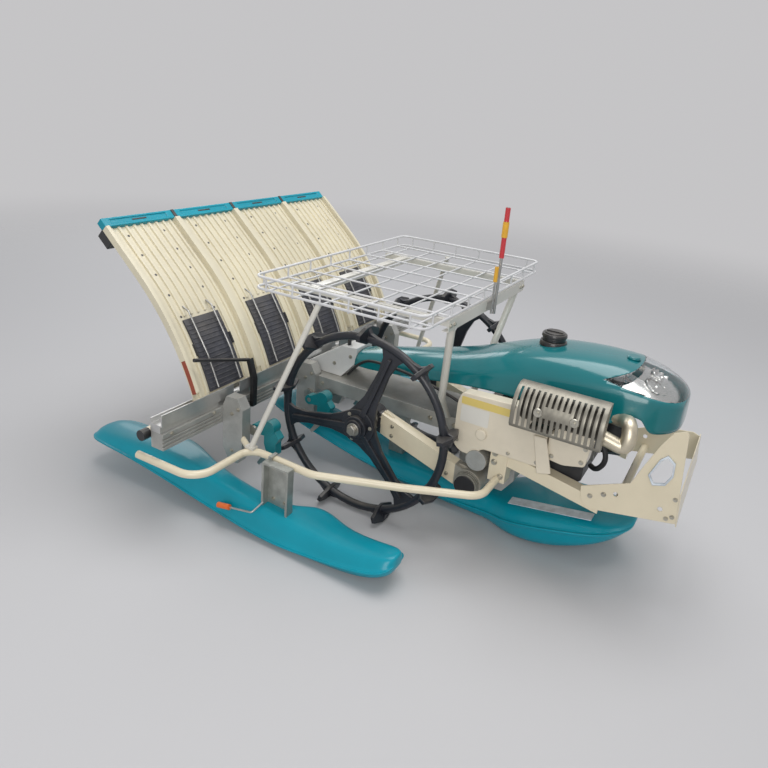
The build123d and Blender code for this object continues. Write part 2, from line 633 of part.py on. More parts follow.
TRAY_HALF_WIDTH = ROW_PITCH * ROW_COUNT / 2
tray_low = TRAY_OFFSET_Y - TRAY_HALF_WIDTH
tray_high = TRAY_OFFSET_Y + TRAY_HALF_WIDTH
tray = tray_strip(0, TRAY_LENGTH, -TRAY_SHEET, 0, tray_low, tray_high)
ribs = []
for i in range(ROW_COUNT + 1):
    y = tray_low + i * ROW_PITCH
    width = EDGE_WIDTH if i in (0, ROW_COUNT) else DIVIDER_WIDTH
    low = y if i == 0 else y - width / 2
    low = y - width if i == ROW_COUNT else low
    ribs.append(tray_strip(DIVIDER_START, TRAY_LENGTH, -TRAY_SHEET, DIVIDER_HEIGHT, low, low + width))
for row in ROWS:
    for k in range(RIB_COUNT):
        y = row + TRAY_OFFSET_Y + (k - (RIB_COUNT - 1) / 2) * (ROW_PITCH - DIVIDER_WIDTH) / RIB_COUNT
        beside = abs(y - row - TRAY_OFFSET_Y) < BELT_WIDTH / 2 + RIB_WIDTH
        start = BELT_START + BELT_LENGTH + 12 if beside else 0
        ribs.append(tray_strip(start, TRAY_LENGTH, -1, RIB_HEIGHT, y - RIB_WIDTH / 2, y + RIB_WIDTH / 2))
tray = tray.fuse(*ribs)
for row in ROWS:
    y = row + TRAY_OFFSET_Y
    gap = BELT_WIDTH / 2 + SEAT_GAP
    tray -= tray_strip(BELT_START - SEAT_GAP, BELT_START + BELT_LENGTH + SEAT_GAP, -20, 3, y - gap, y + gap)
for i in range(ROW_COUNT + 1):
    y = tray_low + i * ROW_PITCH
    y = y + SHOE_WIDTH / 2 if i == 0 else y
    y = y - SHOE_WIDTH / 2 if i == ROW_COUNT else y
    foot_x, foot_z = tray_point(4, -TRAY_SHEET / 2)
    tray += block(foot_x - 5, foot_x + 4, y - SHOE_WIDTH / 2, y + SHOE_WIDTH / 2, RAIL_FLOOR_Z + RAIL_WALL + SEAT_GAP, foot_z)
guide_x, guide_z = tray_point(GUIDE_AT, -GUIDE_DROP)
for row in (ROWS[0], ROWS[-1]):
    y = row * 0.8 + TRAY_OFFSET_Y
    hanger = tray_strip(GUIDE_AT - 22, GUIDE_AT + 22, -GUIDE_DROP - 24, -TRAY_SHEET, y - 15, y + 15)
    hanger -= drum(guide_x, guide_z, GUIDE_R + SEAT_GAP, y - 30, y + 30)
    hanger -= tray_strip(GUIDE_AT - 30, GUIDE_AT + 30, -GUIDE_DROP - 40, -GUIDE_DROP + 5, y - 16, y + 16)
    tray += hanger
save(tray, "seedling_tray")

# Feed belts in the tray's windows
belts = []
for row in ROWS:
    y = row + TRAY_OFFSET_Y
    belts.append(tray_strip(BELT_START, BELT_START + BELT_LENGTH, -BELT_DEPTH, BELT_RISE, y - BELT_WIDTH / 2, y + BELT_WIDTH / 2))
save(Compound(children=belts), "feed_belts")

# Caps along the tray's top edge
caps = []
for row in ROWS:
    y = row + TRAY_OFFSET_Y
    half = ROW_PITCH / 2 - 4
    top = TRAY_LENGTH + TRAY_CAP_LENGTH
    cap = tray_strip(TRAY_LENGTH, top, -TRAY_CAP_DROP, TRAY_CAP_RISE, y - half, y + half)
    cap -= tray_strip(TRAY_LENGTH + 10, top - 8, TRAY_CAP_RISE - 4, TRAY_CAP_RISE + 1, y - half + 30, y + half - 30)
    caps.append(cap)
save(Compound(children=caps), "tray_caps")

# Pairs of thin rods over each belt
rods = []
for row in ROWS:
    for side in SIDES:
        y = row + TRAY_OFFSET_Y + side * ROD_SPREAD
        stations = [(BELT_START + BELT_LENGTH + 44, ROD_R + SEAT_GAP), (BELT_START + BELT_LENGTH + 20, ROD_RISE), (BELT_LENGTH / 2, ROD_RISE), (14, ROD_RISE)]
        points = [(tray_point(s, h)[0], y, tray_point(s, h)[1]) for s, h in stations]
        rods.append(bent_tube(points, 12, ROD_R))
save(Compound(children=rods), "seedling_rods")

# Guide tube under the tray's upper half, on two posts from the handlebars
HANDLE_POINTS = [(-393.5, 326.0), (-470.0, 345.0), (-900.0, 690.0), (-1057.2, 746.0)]
POST_X = guide_x
post_z = 345 + (690 - 345) * (-470 - POST_X) / 430
guide_half = 540.0
tray_support = drum(guide_x, guide_z, GUIDE_R, -guide_half, guide_half)
tray_support += both_sides(rod((POST_X, -HANDLE_Y, post_z + 34), (guide_x, -HANDLE_Y, guide_z), 9))
save(tray_support, "tray_support")


# Handlebars with a cross bar, grips and the control panel
def handle_points(side):
    """Bends of one handlebar."""
    return [(x, side * HANDLE_Y, z) for x, z in HANDLE_POINTS]


handlebars = bent_tube(handle_points(-1), 60, HANDLE_R) + bent_tube(handle_points(1), 60, HANDLE_R)
handlebars += drum(-740, 345 + 345 * 270 / 430, 12, -HANDLE_Y, HANDLE_Y)
handlebars += both_sides(rod((POST_X, -HANDLE_Y, post_z), (POST_X, -HANDLE_Y, post_z + 34), 13))
save(handlebars, "handlebars")
grips = []
start = Vector(HANDLE_POINTS[-2][0], 0, HANDLE_POINTS[-2][1])
end = Vector(HANDLE_POINTS[-1][0], 0, HANDLE_POINTS[-1][1])
along = (end - start).normalized()
for side in SIDES:
    tip = end + Vector(0, side * HANDLE_Y, 0)
    low = tip - along * GRIP_LENGTH
    grip = rod(tuple(low), tuple(tip + along * 6), GRIP_R) - rod(tuple(low - along * 5), tuple(tip), HANDLE_R + SEAT_GAP / 2)
    grips.append(grip)
save(Compound(children=grips), "hand_grips")
PANEL_BAR_X = -740.0
PANEL_BAR_Z = 345 + 345 * 270 / 430
panel = side_plate([(-850, 640), (-745, 556), (-722, 590), (-826, 674)], -150, 150)
panel += block(PANEL_BAR_X - 20, PANEL_BAR_X + 20, -30, 30, PANEL_BAR_Z - 18, PANEL_BAR_Z + 20)
panel -= drum(PANEL_BAR_X, PANEL_BAR_Z, 12 + SEAT_GAP, -200, 200)
for y, lean in ((-90, -30), (-30, -45), (40, -30), (100, -50)):
    panel += rod((-790, y, 630), (-790 + lean, y, 730), 6) + Pos(-790 + lean, y, 730) * Sphere(13)
save(panel, "control_panel")


# Guard tubes round both sides
guard_points = [
    (-400, -GUARD_Y, GUARD_Z), (-160, -GUARD_Y, GUARD_Z), (-160, -545, GUARD_Z), (87, -556, GUARD_Z),
    (336, -453, GUARD_Z), (550, -350, GUARD_Z), (550, -bumper_outer - SEAT_GAP, GUARD_Z),
]
guard = bent_tube(guard_points, [70, 50, 90, 90, 60], GUARD_R)
guard_stub = rod((-143, -562, GUARD_Z), (-240, -500, GUARD_Z), GUARD_R - 2)
guard += guard_stub & block(PLANT_CASE_FRONT_X + SEAT_GAP, 0, -700, -400, 200, 300)
save(guard, "side_guard_right")
save(other_side(guard), "side_guard_left")


# Floats, lofted through sections of straight lines
def float_section(x, y_in, y_out, keel, lip, crown):
    """One cross section: a narrower keel, sides up to the lip, and a crowned deck."""
    flare = min(16.0, (y_out - y_in) * 0.12)
    deck = min(22.0, (y_out - y_in) * 0.16)
    points = [
        (y_in + flare, keel), (y_out - flare, keel), (y_out, lip), (y_out - deck, crown), (y_in + deck, crown), (y_in, lip),
    ]
    plane = Plane(origin=(x, 0, 0), x_dir=(0, 1, 0), z_dir=(1, 0, 0))
    return plane * make_face(Polyline(*points, close=True))


def lip_section(x, y_in, y_out, lip):
    """The thin rim that stands out round the float."""
    plane = Plane(origin=(x, 0, 0), x_dir=(0, 1, 0), z_dir=(1, 0, 0))
    across = y_out - y_in + 2 * LIP_OVERHANG
    return plane * (Pos((y_in + y_out) / 2, lip) * Rectangle(across, SIDE_FLOAT_LIP))


def float_hull(stations):
    """Hull and rim through all sections."""
    hull = loft([float_section(*s) for s in stations], ruled=True)
    rim = loft([lip_section(s[0], s[1], s[2], s[4]) for s in stations], ruled=True)
    return hull + rim


# x, inner y, outer y, keel z, lip z, crown z
SIDE_FLOAT = [
    (-770, 470, 615, 96, 116, 128),
    (-560, 462, 631, 62, 88, 130),
    (-430, 462, 631, 38, 66, 120),
    (-385, 520, 631, 30, 60, 114),
    (-176, 535, 631, 4, 36, 96),
    (0, 530, 631, 0, 30, 96),
    (110, 500, 631, 0, 30, 96),
    (240, 480, 631, 0, 36, 92),
    (340, 490, 622, 28, 70, 110),
    (392, 510, 606, 96, 124, 140),
]
side_float = float_hull(SIDE_FLOAT)
save(side_float, "side_float_left")
save(other_side(side_float), "side_float_right")

# x, half width, keel z, lip z, crown z
CENTRE_FLOAT = [
    (-440, 88, 146, 166, 180),
    (-300, 96, 108, 134, 152),
    (0, 100, 44, 74, 96),
    (200, 110, 14, 44, 96),
    (420, 150, 0, 34, 66),
    (540, 164, 0, 34, 66),
    (700, 172, 0, 36, 74),
    (830, 150, 12, 58, 92),
    (910, 110, 58, 98, 118),
    (948, 70, 118, 136, 144),
]
save(float_hull([(x, -half, half, keel, lip, crown) for x, half, keel, lip, crown in CENTRE_FLOAT]), "centre_float")

# Upright channels that carry the floats
FLOAT_BRACKET_Y = -569.0
SIDE_CROWN_Z = 96.0
brackets = []
channel = block(-70, 30, -598, FLOAT_BRACKET_Y, SIDE_CROWN_Z, 256) - block(-62, 22, -599, FLOAT_BRACKET_Y - 4, SIDE_CROWN_Z - 1, 250)
channel += block(-66, -54, FLOAT_BRACKET_Y - 2, -540, 262.3, 267) + block(-66, -54, FLOAT_BRACKET_Y - 4, FLOAT_BRACKET_Y, 250, 267)
brackets.append(channel)
brackets.append(other_side(channel))
brackets.append(block(60, 120, -20, 20, 96, BEAM_BOTTOM_Z))
brackets.append(block(440, 500, -24, 24, 66, CASE_BOTTOM_Z))
save(Compound(children=brackets), "float_brackets")


# Spare seedling rack of welded wire
def wire_ring(z, radius):
    """A closed rounded rectangle of wire round the rack."""
    inset = RACK_RIM_R
    width = RACK_FRONT_X - RACK_REAR_X - 2 * inset
    depth = 2 * (RACK_HALF_WIDTH - inset)
    path = Pos((RACK_FRONT_X + RACK_REAR_X) / 2, 0, z) * RectangleRounded(width, depth, RACK_CORNER_R).wire()
    section = Plane(origin=path @ 0, z_dir=path % 0) * Circle(radius)
    return sweep(section, path=path)


rack = wire_ring(RACK_TOP_Z - RACK_RIM_R, RACK_RIM_R)
rack += wire_ring(RACK_FLOOR_Z, RACK_RIM_R)
wires = []
for i in range(8):
    y = (i - 3.5) * 2 * (RACK_HALF_WIDTH - 50) / 7
    wires.append(rod((RACK_REAR_X + RACK_RIM_R, y, RACK_FLOOR_Z), (RACK_FRONT_X - RACK_RIM_R, y, RACK_FLOOR_Z), RACK_WIRE_R))
    for x in (RACK_REAR_X + RACK_RIM_R, RACK_FRONT_X - RACK_RIM_R):
        wires.append(rod((x, y, RACK_FLOOR_Z), (x, y, RACK_TOP_Z - RACK_RIM_R), RACK_WIRE_R))
rack_laterals = [RACK_REAR_X + 50 + i * (RACK_FRONT_X - RACK_REAR_X - 100) / 5 for i in range(6)]
for x in rack_laterals:
    z = RACK_FLOOR_Z - 2 * RACK_WIRE_R + 0.8
    edge = RACK_HALF_WIDTH - RACK_RIM_R
    wires.append(rod((x, -edge, z), (x, edge, z), RACK_WIRE_R))
    for y in (-edge, edge):
        wires.append(rod((x, y, z), (x, y, RACK_TOP_Z - RACK_RIM_R), RACK_WIRE_R))
rack = rack.fuse(*wires)
save(rack, "spare_rack")

# Rack frame: side beams, front channel and legs
beam_top = RACK_FLOOR_Z - 3 * RACK_WIRE_R - SEAT_GAP + 0.8
frame = block(RACK_FRONT_X - 20, RACK_FRONT_X, -RACK_BEAM_Y - 12, RACK_BEAM_Y + 12, 712, beam_top)
frame -= block(RACK_FRONT_X - 21, RACK_FRONT_X - 3, -RACK_BEAM_Y - 13, RACK_BEAM_Y + 13, 715, beam_top - 3)
frame += both_sides(block(-200, RACK_FRONT_X - 2, -RACK_BEAM_Y - 10, -RACK_BEAM_Y + 10, beam_top - RACK_BEAM, beam_top))
frame += block(-130, -100, -RACK_BEAM_Y, RACK_BEAM_Y, beam_top - RACK_BEAM, beam_top)
leg = bent_tube([(362, -272, 722), (317, -180, 437), (310, -86, MAIN_BEAM_TOP_Z - 20)], 60, RACK_LEG_R)
leg -= block(200, 400, -300, 0, 200, MAIN_BEAM_TOP_Z)
frame += both_sides(leg)
stays = rod((-146, -559, GUARD_Z + GUARD_R + 2), (rack_laterals[2] - 20, -445, beam_top), STAY_R)
stays += block(-162, -130, -571, -547, GUARD_Z + GUARD_R + SEAT_GAP, GUARD_Z + GUARD_R + 8)
stays -= block(-200, -100, -600, -500, 200, GUARD_Z + GUARD_R + SEAT_GAP)
save(Compound(children=[frame, stays, other_side(stays)]), "rack_frame")

# Marker pole at the front of the rack, with its coloured sleeves
POLE_R = 5.0
POLE_X = RACK_FRONT_X + 14.0
POLE_TOP_Z = 1045.0
SHORT_POLE_Y = -28.0
SHORT_POLE_TOP_Z = 862.0
clip = block(RACK_FRONT_X + SEAT_GAP, POLE_X, SHORT_POLE_Y - 8, 10, 718, 742)
pole = clip + rod((POLE_X, 0, 700), (POLE_X, 0, POLE_TOP_Z), POLE_R)
pole += rod((POLE_X, SHORT_POLE_Y, 706), (POLE_X, SHORT_POLE_Y, SHORT_POLE_TOP_Z), POLE_R - 2)
save(pole, "marker_pole")
sleeves = []
# foot of each sleeve, its top, its radius, and the pole that it sits on
for low, high, radius, y, pole_r in (
    (885, 950, 8, 0, POLE_R),
    (951, 1000, 10, 0, POLE_R),
    (1001, POLE_TOP_Z - 1, 8, 0, POLE_R),
    (812, SHORT_POLE_TOP_Z - 1, 6.5, SHORT_POLE_Y, POLE_R - 2),
):
    sleeve = rod((POLE_X, y, low), (POLE_X, y, high), radius)
    sleeves.append(sleeve - rod((POLE_X, y, low - 1), (POLE_X, y, high + 1), pole_r + SEAT_GAP))
save(Compound(children=sleeves), "marker_sleeves")

# Side markers: a bent wire with a grip, from each float bracket
wire_points = [(-60, -599.3, 120), (-72, -640, 98), (-200, -642, 76)]
marker = bent_tube(wire_points, 12, 3)
grip_start = Vector(-160, -641.4, 82.9)
grip_end = Vector(-206, -642.1, 75)
marker += rod(tuple(grip_start), tuple(grip_end), 9)
save(Compound(children=[marker, other_side(marker)]), "side_markers")

# Bar over the first column of seedlings, on a post in front of the rail
stop_post = side_plate([(-299.7, 300), (-286, 300), (-284, 400), (-305, 470), (-318, 464), (-299.7, 404)], -388, -368)
stop_bar = rod((-312, -380, 464), (-335, -612, 524), 6)
save(stop_post + stop_bar, "seedling_stop")
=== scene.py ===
from math import cos, pi, radians, sin

import bmesh
import bpy
from mathutils import Matrix, Vector


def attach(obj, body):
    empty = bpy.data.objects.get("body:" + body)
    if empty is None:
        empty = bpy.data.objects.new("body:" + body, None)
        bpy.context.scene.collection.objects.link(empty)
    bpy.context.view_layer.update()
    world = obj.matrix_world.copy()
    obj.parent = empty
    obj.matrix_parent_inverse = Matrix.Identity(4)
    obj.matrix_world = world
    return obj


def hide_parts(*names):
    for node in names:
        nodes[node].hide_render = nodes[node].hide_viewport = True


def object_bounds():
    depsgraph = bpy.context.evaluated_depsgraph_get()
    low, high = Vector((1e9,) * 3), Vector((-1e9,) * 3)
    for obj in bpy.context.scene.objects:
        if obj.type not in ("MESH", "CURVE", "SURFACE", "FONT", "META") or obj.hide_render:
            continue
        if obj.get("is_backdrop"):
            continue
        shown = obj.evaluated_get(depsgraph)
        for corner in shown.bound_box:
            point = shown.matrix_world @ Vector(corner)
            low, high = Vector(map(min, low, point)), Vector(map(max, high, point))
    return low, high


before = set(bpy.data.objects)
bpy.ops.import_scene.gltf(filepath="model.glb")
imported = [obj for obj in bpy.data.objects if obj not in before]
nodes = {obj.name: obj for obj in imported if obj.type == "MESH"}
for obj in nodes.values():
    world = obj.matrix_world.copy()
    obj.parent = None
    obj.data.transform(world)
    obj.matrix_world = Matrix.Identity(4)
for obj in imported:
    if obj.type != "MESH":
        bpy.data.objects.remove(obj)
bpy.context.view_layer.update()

# Camera
# The photograph looks down at the machine's right front corner with a slight tilt.
azimuth, elevation, roll = radians(28.6), radians(19.2), radians(4.9)
back = Vector((sin(azimuth) * cos(elevation), -cos(azimuth) * cos(elevation), sin(elevation)))
level = Vector((cos(azimuth), sin(azimuth), 0))
above = back.cross(level)
right = cos(roll) * level + sin(roll) * above
up = cos(roll) * above - sin(roll) * level
camera = bpy.data.objects.new("camera", bpy.data.cameras.new("camera"))
bpy.context.collection.objects.link(camera)
camera.data.lens = 32.3
camera.data.sensor_width = 36
camera.data.shift_y = -0.0625
camera_x, camera_y, camera_z = 1.113, -2.061, 1.341
camera.matrix_world = Matrix((
    (right.x, up.x, back.x, camera_x), (right.y, up.y, back.y, camera_y),
    (right.z, up.z, back.z, camera_z), (0, 0, 0, 1),
))
bpy.context.scene.camera = camera

# Floats
# Three hollow floats, blow-moulded from teal plastic with a flat rim where the two halves
# of the mould meet. Their tops carry a little dried field dust.


def add_node(tree, kind, values=None, **settings):
    """Add one shader node with its settings and the values of its sockets."""
    node = tree.nodes.new(kind)
    for name, value in settings.items():
        setattr(node, name, value)
    for name, value in (values or {}).items():
        node.inputs[name].default_value = value
    return node


def start_group(name, inputs, outputs):
    """Start a shader group with named sockets and give its tree and its two ends."""
    tree = bpy.data.node_groups.new(name, "ShaderNodeTree")
    for label, value in inputs.items():
        kind = "NodeSocketFloat" if isinstance(value, float) else "NodeSocketColor"
        tree.interface.new_socket(label, in_out="INPUT", socket_type=kind).default_value = value
    for label, kind in outputs.items():
        tree.interface.new_socket(label, in_out="OUTPUT", socket_type=kind)
    return tree, tree.nodes.new("NodeGroupInput").outputs, tree.nodes.new("NodeGroupOutput").inputs


def join(tree, *pairs):
    """Link pairs of sockets."""
    for source, target in pairs:
        tree.links.new(source, target)


def build_used_surface():
    """Uneven tone, rubbed edges and settled dust over a base colour."""
    tree, given, result = start_group("used_surface", {
        "Colour": (0.5, 0.5, 0.5, 1), "Bare": (0.4, 0.4, 0.4, 1), "Roughness": 0.5, "Tone size": 6.0,
        "Tone": 0.1, "Rub": 0.0, "Rub width": 0.002, "Dust": 0.1,
    }, {"Colour": "NodeSocketColor", "Roughness": "NodeSocketFloat", "Rubbed": "NodeSocketFloat"})
    place = add_node(tree, "ShaderNodeTexCoord").outputs
    cloud = add_node(tree, "ShaderNodeTexNoise", {"Detail": 5.0, "Roughness": 0.6})
    spread = add_node(tree, "ShaderNodeMapRange", {"From Min": 0.3, "From Max": 0.7})
    darker = add_node(tree, "ShaderNodeMath", {0: 1.0}, operation="SUBTRACT")
    tint = add_node(tree, "ShaderNodeHueSaturation")
    lighter = add_node(tree, "ShaderNodeMath", {1: 1.0}, operation="ADD")
    join(tree, (place["Object"], cloud.inputs["Vector"]), (given["Tone size"], cloud.inputs["Scale"]),
         (cloud.outputs["Fac"], spread.inputs["Value"]), (given["Tone"], darker.inputs[1]),
         (given["Tone"], lighter.inputs[0]), (darker.outputs[0], spread.inputs["To Min"]),
         (lighter.outputs[0], spread.inputs["To Max"]), (spread.outputs[0], tint.inputs["Value"]),
         (given["Colour"], tint.inputs["Color"]))
    # edges, where the rounded normal leaves the true one, broken up by fine noise
    flat = add_node(tree, "ShaderNodeNewGeometry")
    rounded = add_node(tree, "ShaderNodeBevel", samples=4)
    same = add_node(tree, "ShaderNodeVectorMath", operation="DOT_PRODUCT")
    edge = add_node(tree, "ShaderNodeMapRange", {"From Min": 0.98, "From Max": 0.8})
    chips = add_node(tree, "ShaderNodeTexNoise", {"Scale": 55.0, "Detail": 6.0, "Roughness": 0.7})
    broken = add_node(tree, "ShaderNodeMapRange", {"From Min": 0.45, "From Max": 0.62})
    worn = add_node(tree, "ShaderNodeMath", operation="MULTIPLY")
    rubbed = add_node(tree, "ShaderNodeMath", operation="MULTIPLY")
    bare = add_node(tree, "ShaderNodeMix", data_type="RGBA")
    join(tree, (given["Rub width"], rounded.inputs["Radius"]), (flat.outputs["Normal"], same.inputs[0]),
         (rounded.outputs[0], same.inputs[1]), (same.outputs["Value"], edge.inputs["Value"]),
         (place["Object"], chips.inputs["Vector"]), (chips.outputs["Fac"], broken.inputs["Value"]),
         (edge.outputs[0], worn.inputs[0]), (broken.outputs[0], worn.inputs[1]),
         (worn.outputs[0], rubbed.inputs[0]), (given["Rub"], rubbed.inputs[1]),
         (rubbed.outputs[0], bare.inputs[0]), (tint.outputs[0], bare.inputs[6]),
         (given["Bare"], bare.inputs[7]))
    # dust lies on what faces up, in patches
    facing = add_node(tree, "ShaderNodeSeparateXYZ")
    upward = add_node(tree, "ShaderNodeMapRange", {"From Min": 0.35, "From Max": 0.95})
    patches = add_node(tree, "ShaderNodeTexNoise", {"Scale": 9.0, "Detail": 7.0, "Roughness": 0.65})
    settled = add_node(tree, "ShaderNodeMapRange", {"From Min": 0.38, "From Max": 0.72})
    lying = add_node(tree, "ShaderNodeMath", operation="MULTIPLY")
    dust = add_node(tree, "ShaderNodeMath", operation="MULTIPLY")
    dusty = add_node(tree, "ShaderNodeMix", {7: (0.42, 0.37, 0.29, 1)}, data_type="RGBA")
    rough = add_node(tree, "ShaderNodeMix", {3: 0.85}, data_type="FLOAT")
    join(tree, (place["Normal"], facing.inputs[0]), (facing.outputs[2], upward.inputs["Value"]),
         (place["Object"], patches.inputs["Vector"]), (patches.outputs["Fac"], settled.inputs["Value"]),
         (upward.outputs[0], lying.inputs[0]), (settled.outputs[0], lying.inputs[1]),
         (lying.outputs[0], dust.inputs[0]), (given["Dust"], dust.inputs[1]),
         (dust.outputs[0], dusty.inputs[0]), (bare.outputs[2], dusty.inputs[6]),
         (dust.outputs[0], rough.inputs[0]), (given["Roughness"], rough.inputs[2]),
         (dusty.outputs[2], result["Colour"]), (rough.outputs[0], result["Roughness"]),
         (rubbed.outputs[0], result["Rubbed"]))
    return tree


def build_surface_relief():
    """The fine relief of a moulded, painted or cast surface."""
    tree, given, result = start_group(
        "surface_relief", {"Fine size": 700.0, "Wave size": 30.0, "Wave": 0.3}, {"Height": "NodeSocketFloat"})
    place = add_node(tree, "ShaderNodeTexCoord").outputs
    fine = add_node(tree, "ShaderNodeTexNoise", {"Detail": 3.0})
    wave = add_node(tree, "ShaderNodeTexNoise", {"Detail": 2.0})
    scaled = add_node(tree, "ShaderNodeMath", operation="MULTIPLY_ADD")
    join(tree, (place["Object"], fine.inputs["Vector"]), (place["Object"], wave.inputs["Vector"]),
         (given["Fine size"], fine.inputs["Scale"]), (given["Wave size"], wave.inputs["Scale"]),
         (wave.outputs["Fac"], scaled.inputs[0]), (given["Wave"], scaled.inputs[1]),
         (fine.outputs["Fac"], scaled.inputs[2]), (scaled.outputs[0], result["Height"]))
    return tree


used_surface = build_used_surface()
surface_relief = build_surface_relief()


def zone_mask(tree, axes, limits):
    """A mask of 1 inside ranges of x, y, z or distance from the middle plane, in metres."""
    mask = None
    for axis, low, high in limits:
        middle, half = (low + high) / 2, (high - low) / 2
        inside = add_node(tree, "ShaderNodeMath", {1: middle, 2: half}, operation="COMPARE")
        join(tree, (axes[axis], inside.inputs[0]))
        if mask is None:
            mask = inside.outputs[0]
        else:
            both = add_node(tree, "ShaderNodeMath", operation="MULTIPLY")
            join(tree, (mask, both.inputs[0]), (inside.outputs[0], both.inputs[1]))
            mask = both.outputs[0]
    return mask


def finish(name, colour, roughness, metallic=0.0, coat=0.0, bare=(0.32, 0.3, 0.28), tone=0.08, tone_size=6.0,
           rub=0.0, rub_width=0.002, dust=0.12, fine=700.0, wave=0.4, bump=0.15, zones=()):
    """A finish; a zone is a place with another colour, roughness and metal, inside its limits."""
    material = bpy.data.materials.new(name)
    material.use_nodes = True
    tree = material.node_tree
    shader = tree.nodes["Principled BSDF"]
    shader.inputs["Coat Weight"].default_value = coat
    shader.inputs["Coat Roughness"].default_value = 0.08
    surface = add_node(tree, "ShaderNodeGroup", node_tree=used_surface)
    for label, value in {
        "Colour": (*colour, 1), "Bare": (*bare, 1), "Roughness": roughness, "Tone size": tone_size,
        "Tone": tone, "Rub": rub, "Rub width": rub_width, "Dust": dust,
    }.items():
        surface.inputs[label].default_value = value
    metal = None
    if zones:
        place = add_node(tree, "ShaderNodeTexCoord")
        split = add_node(tree, "ShaderNodeSeparateXYZ")
        away = add_node(tree, "ShaderNodeMath", operation="ABSOLUTE")
        join(tree, (place.outputs["Object"], split.inputs[0]), (split.outputs[1], away.inputs[0]))
        axes = {"x": split.outputs[0], "y": split.outputs[1], "z": split.outputs[2], "away": away.outputs[0]}
        tints, roughs = None, None
        for zone_colour, zone_roughness, zone_metal, *limits in zones:
            mask = zone_mask(tree, axes, limits)
            mixed = add_node(tree, "ShaderNodeMix", {6: (*colour, 1), 7: (*zone_colour, 1)}, data_type="RGBA")
            matt = add_node(tree, "ShaderNodeMix", {2: roughness, 3: zone_roughness}, data_type="FLOAT")
            hard = add_node(tree, "ShaderNodeMix", {2: metallic, 3: zone_metal}, data_type="FLOAT")
            join(tree, (mask, mixed.inputs[0]), (mask, matt.inputs[0]), (mask, hard.inputs[0]))
            if tints is not None:
                join(tree, (tints, mixed.inputs[6]), (roughs, matt.inputs[2]), (metal, hard.inputs[2]))
            tints, roughs, metal = mixed.outputs[2], matt.outputs[0], hard.outputs[0]
        join(tree, (tints, surface.inputs["Colour"]), (roughs, surface.inputs["Roughness"]))
    join(tree, (surface.outputs["Colour"], shader.inputs["Base Color"]),
         (surface.outputs["Roughness"], shader.inputs["Roughness"]))
    if rub:
        shown = add_node(tree, "ShaderNodeMix", {2: metallic, 3: 1.0}, data_type="FLOAT")
        join(tree, (surface.outputs["Rubbed"], shown.inputs[0]),
             (shown.outputs[0], shader.inputs["Metallic"]))
        if metal is not None:
            join(tree, (metal, shown.inputs[2]))
    elif metal is not None:
        join(tree, (metal, shader.inputs["Metallic"]))
    else:
        shader.inputs["Metallic"].default_value = metallic
    relief = add_node(tree, "ShaderNodeGroup", node_tree=surface_relief)
    relief.inputs["Fine size"].default_value = fine
    relief.inputs["Wave"].default_value = wave
    bumped = add_node(tree, "ShaderNodeBump", {"Strength": bump, "Distance": 0.0006})
    join(tree, (relief.outputs["Height"], bumped.inputs["Height"]),
         (bumped.outputs[0], shader.inputs["Normal"]))
    return material


def put(name, bm, body, material):
    """Make a mesh into a piece of the machine that moves with a body."""
    mesh = bpy.data.meshes.new(name)
    bm.to_mesh(mesh)
    bm.free()
    mesh.materials.append(material)
    obj = bpy.data.objects.new(name, mesh)
    bpy.context.collection.objects.link(obj)
    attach(obj, body)
    return obj


float_plastic = finish(
    "float_plastic", (0.0, 0.29, 0.385), 0.3, coat=0.15, tone=0.10, tone_size=3.0, dust=0.02, rub=0.35,
    bare=(0.12, 0.42, 0.5), fine=500.0, bump=0.1,
)
float_plastic.node_tree.nodes["Principled BSDF"].inputs["Specular IOR Level"].default_value = 0.3


def corners_of(geometry):
    """The corners among what an operator gives back."""
    return [part for part in geometry if isinstance(part, bmesh.types.BMVert)]


def shade(bm, axis=None, limit=0.7):
    """Smooth all faces, or only those that run round an axis and not the ends."""
    for face in bm.faces:
        face.smooth = axis is None or abs(face.normal[axis]) < limit


def draw_out(bm, stations, hard):
    """Draw a closed section out through its stations; hard gives the crease of some corners."""
    crease = bm.edges.layers.float.get("crease_edge") or bm.edges.layers.float.new("crease_edge")
    corners = [bm.verts.new(place) for place in stations[0]]
    end = bm.faces.new(corners)
    for number, places in enumerate(stations[1:]):
        drawn = bmesh.ops.extrude_face_region(bm, geom=[end])["geom"]
        fresh = corners_of(drawn)
        # the old end would lie inside, so it goes once the first piece is drawn
        if number and end.is_valid:
            bmesh.ops.delete(bm, geom=[end], context="FACES_ONLY")
        end = next(part for part in drawn if isinstance(part, bmesh.types.BMFace))
        corners = [min(fresh, key=lambda vert: (vert.co - old.co).length) for old in corners]
        for index, (vert, place) in enumerate(zip(corners, places)):
            for line in vert.link_edges:
                if index in hard and line.other_vert(vert) not in corners:
                    line[crease] = hard[index]
            vert.co = place
    bmesh.ops.recalc_face_normals(bm, faces=bm.faces)
    shade(bm)


def float_section(x, inner, outer, keel, lip, crown):
    """One cross section of a float: keel, sides, the rim where the mould's halves meet, and deck."""
    flare = min(0.018, (outer - inner) * 0.14)
    deck = min(0.024, (outer - inner) * 0.17)
    middle = (inner + outer) / 2
    rim, half = 0.008, 0.003
    return [(x, y, z) for y, z in (
        (inner + flare, keel), (outer - flare, keel),
        (outer, lip - half), (outer + rim, lip - half), (outer + rim, lip + half), (outer, lip + half),
        (outer - deck, crown - 0.002), (middle, crown + 0.003), (inner + deck, crown - 0.002),
        (inner, lip + half), (inner - rim, lip + half), (inner - rim, lip - half), (inner, lip - half),
    )]


def moulded_float(name, stations, node):
    """A float drawn through its stations, which stands for a solid."""
    bm = bmesh.new()
    draw_out(bm, stations, float_creases)
    piece = put(name, bm, "chassis", float_plastic)
    smoothing = piece.modifiers.new("round", "SUBSURF")
    smoothing.levels = smoothing.render_levels = 2
    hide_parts(node)


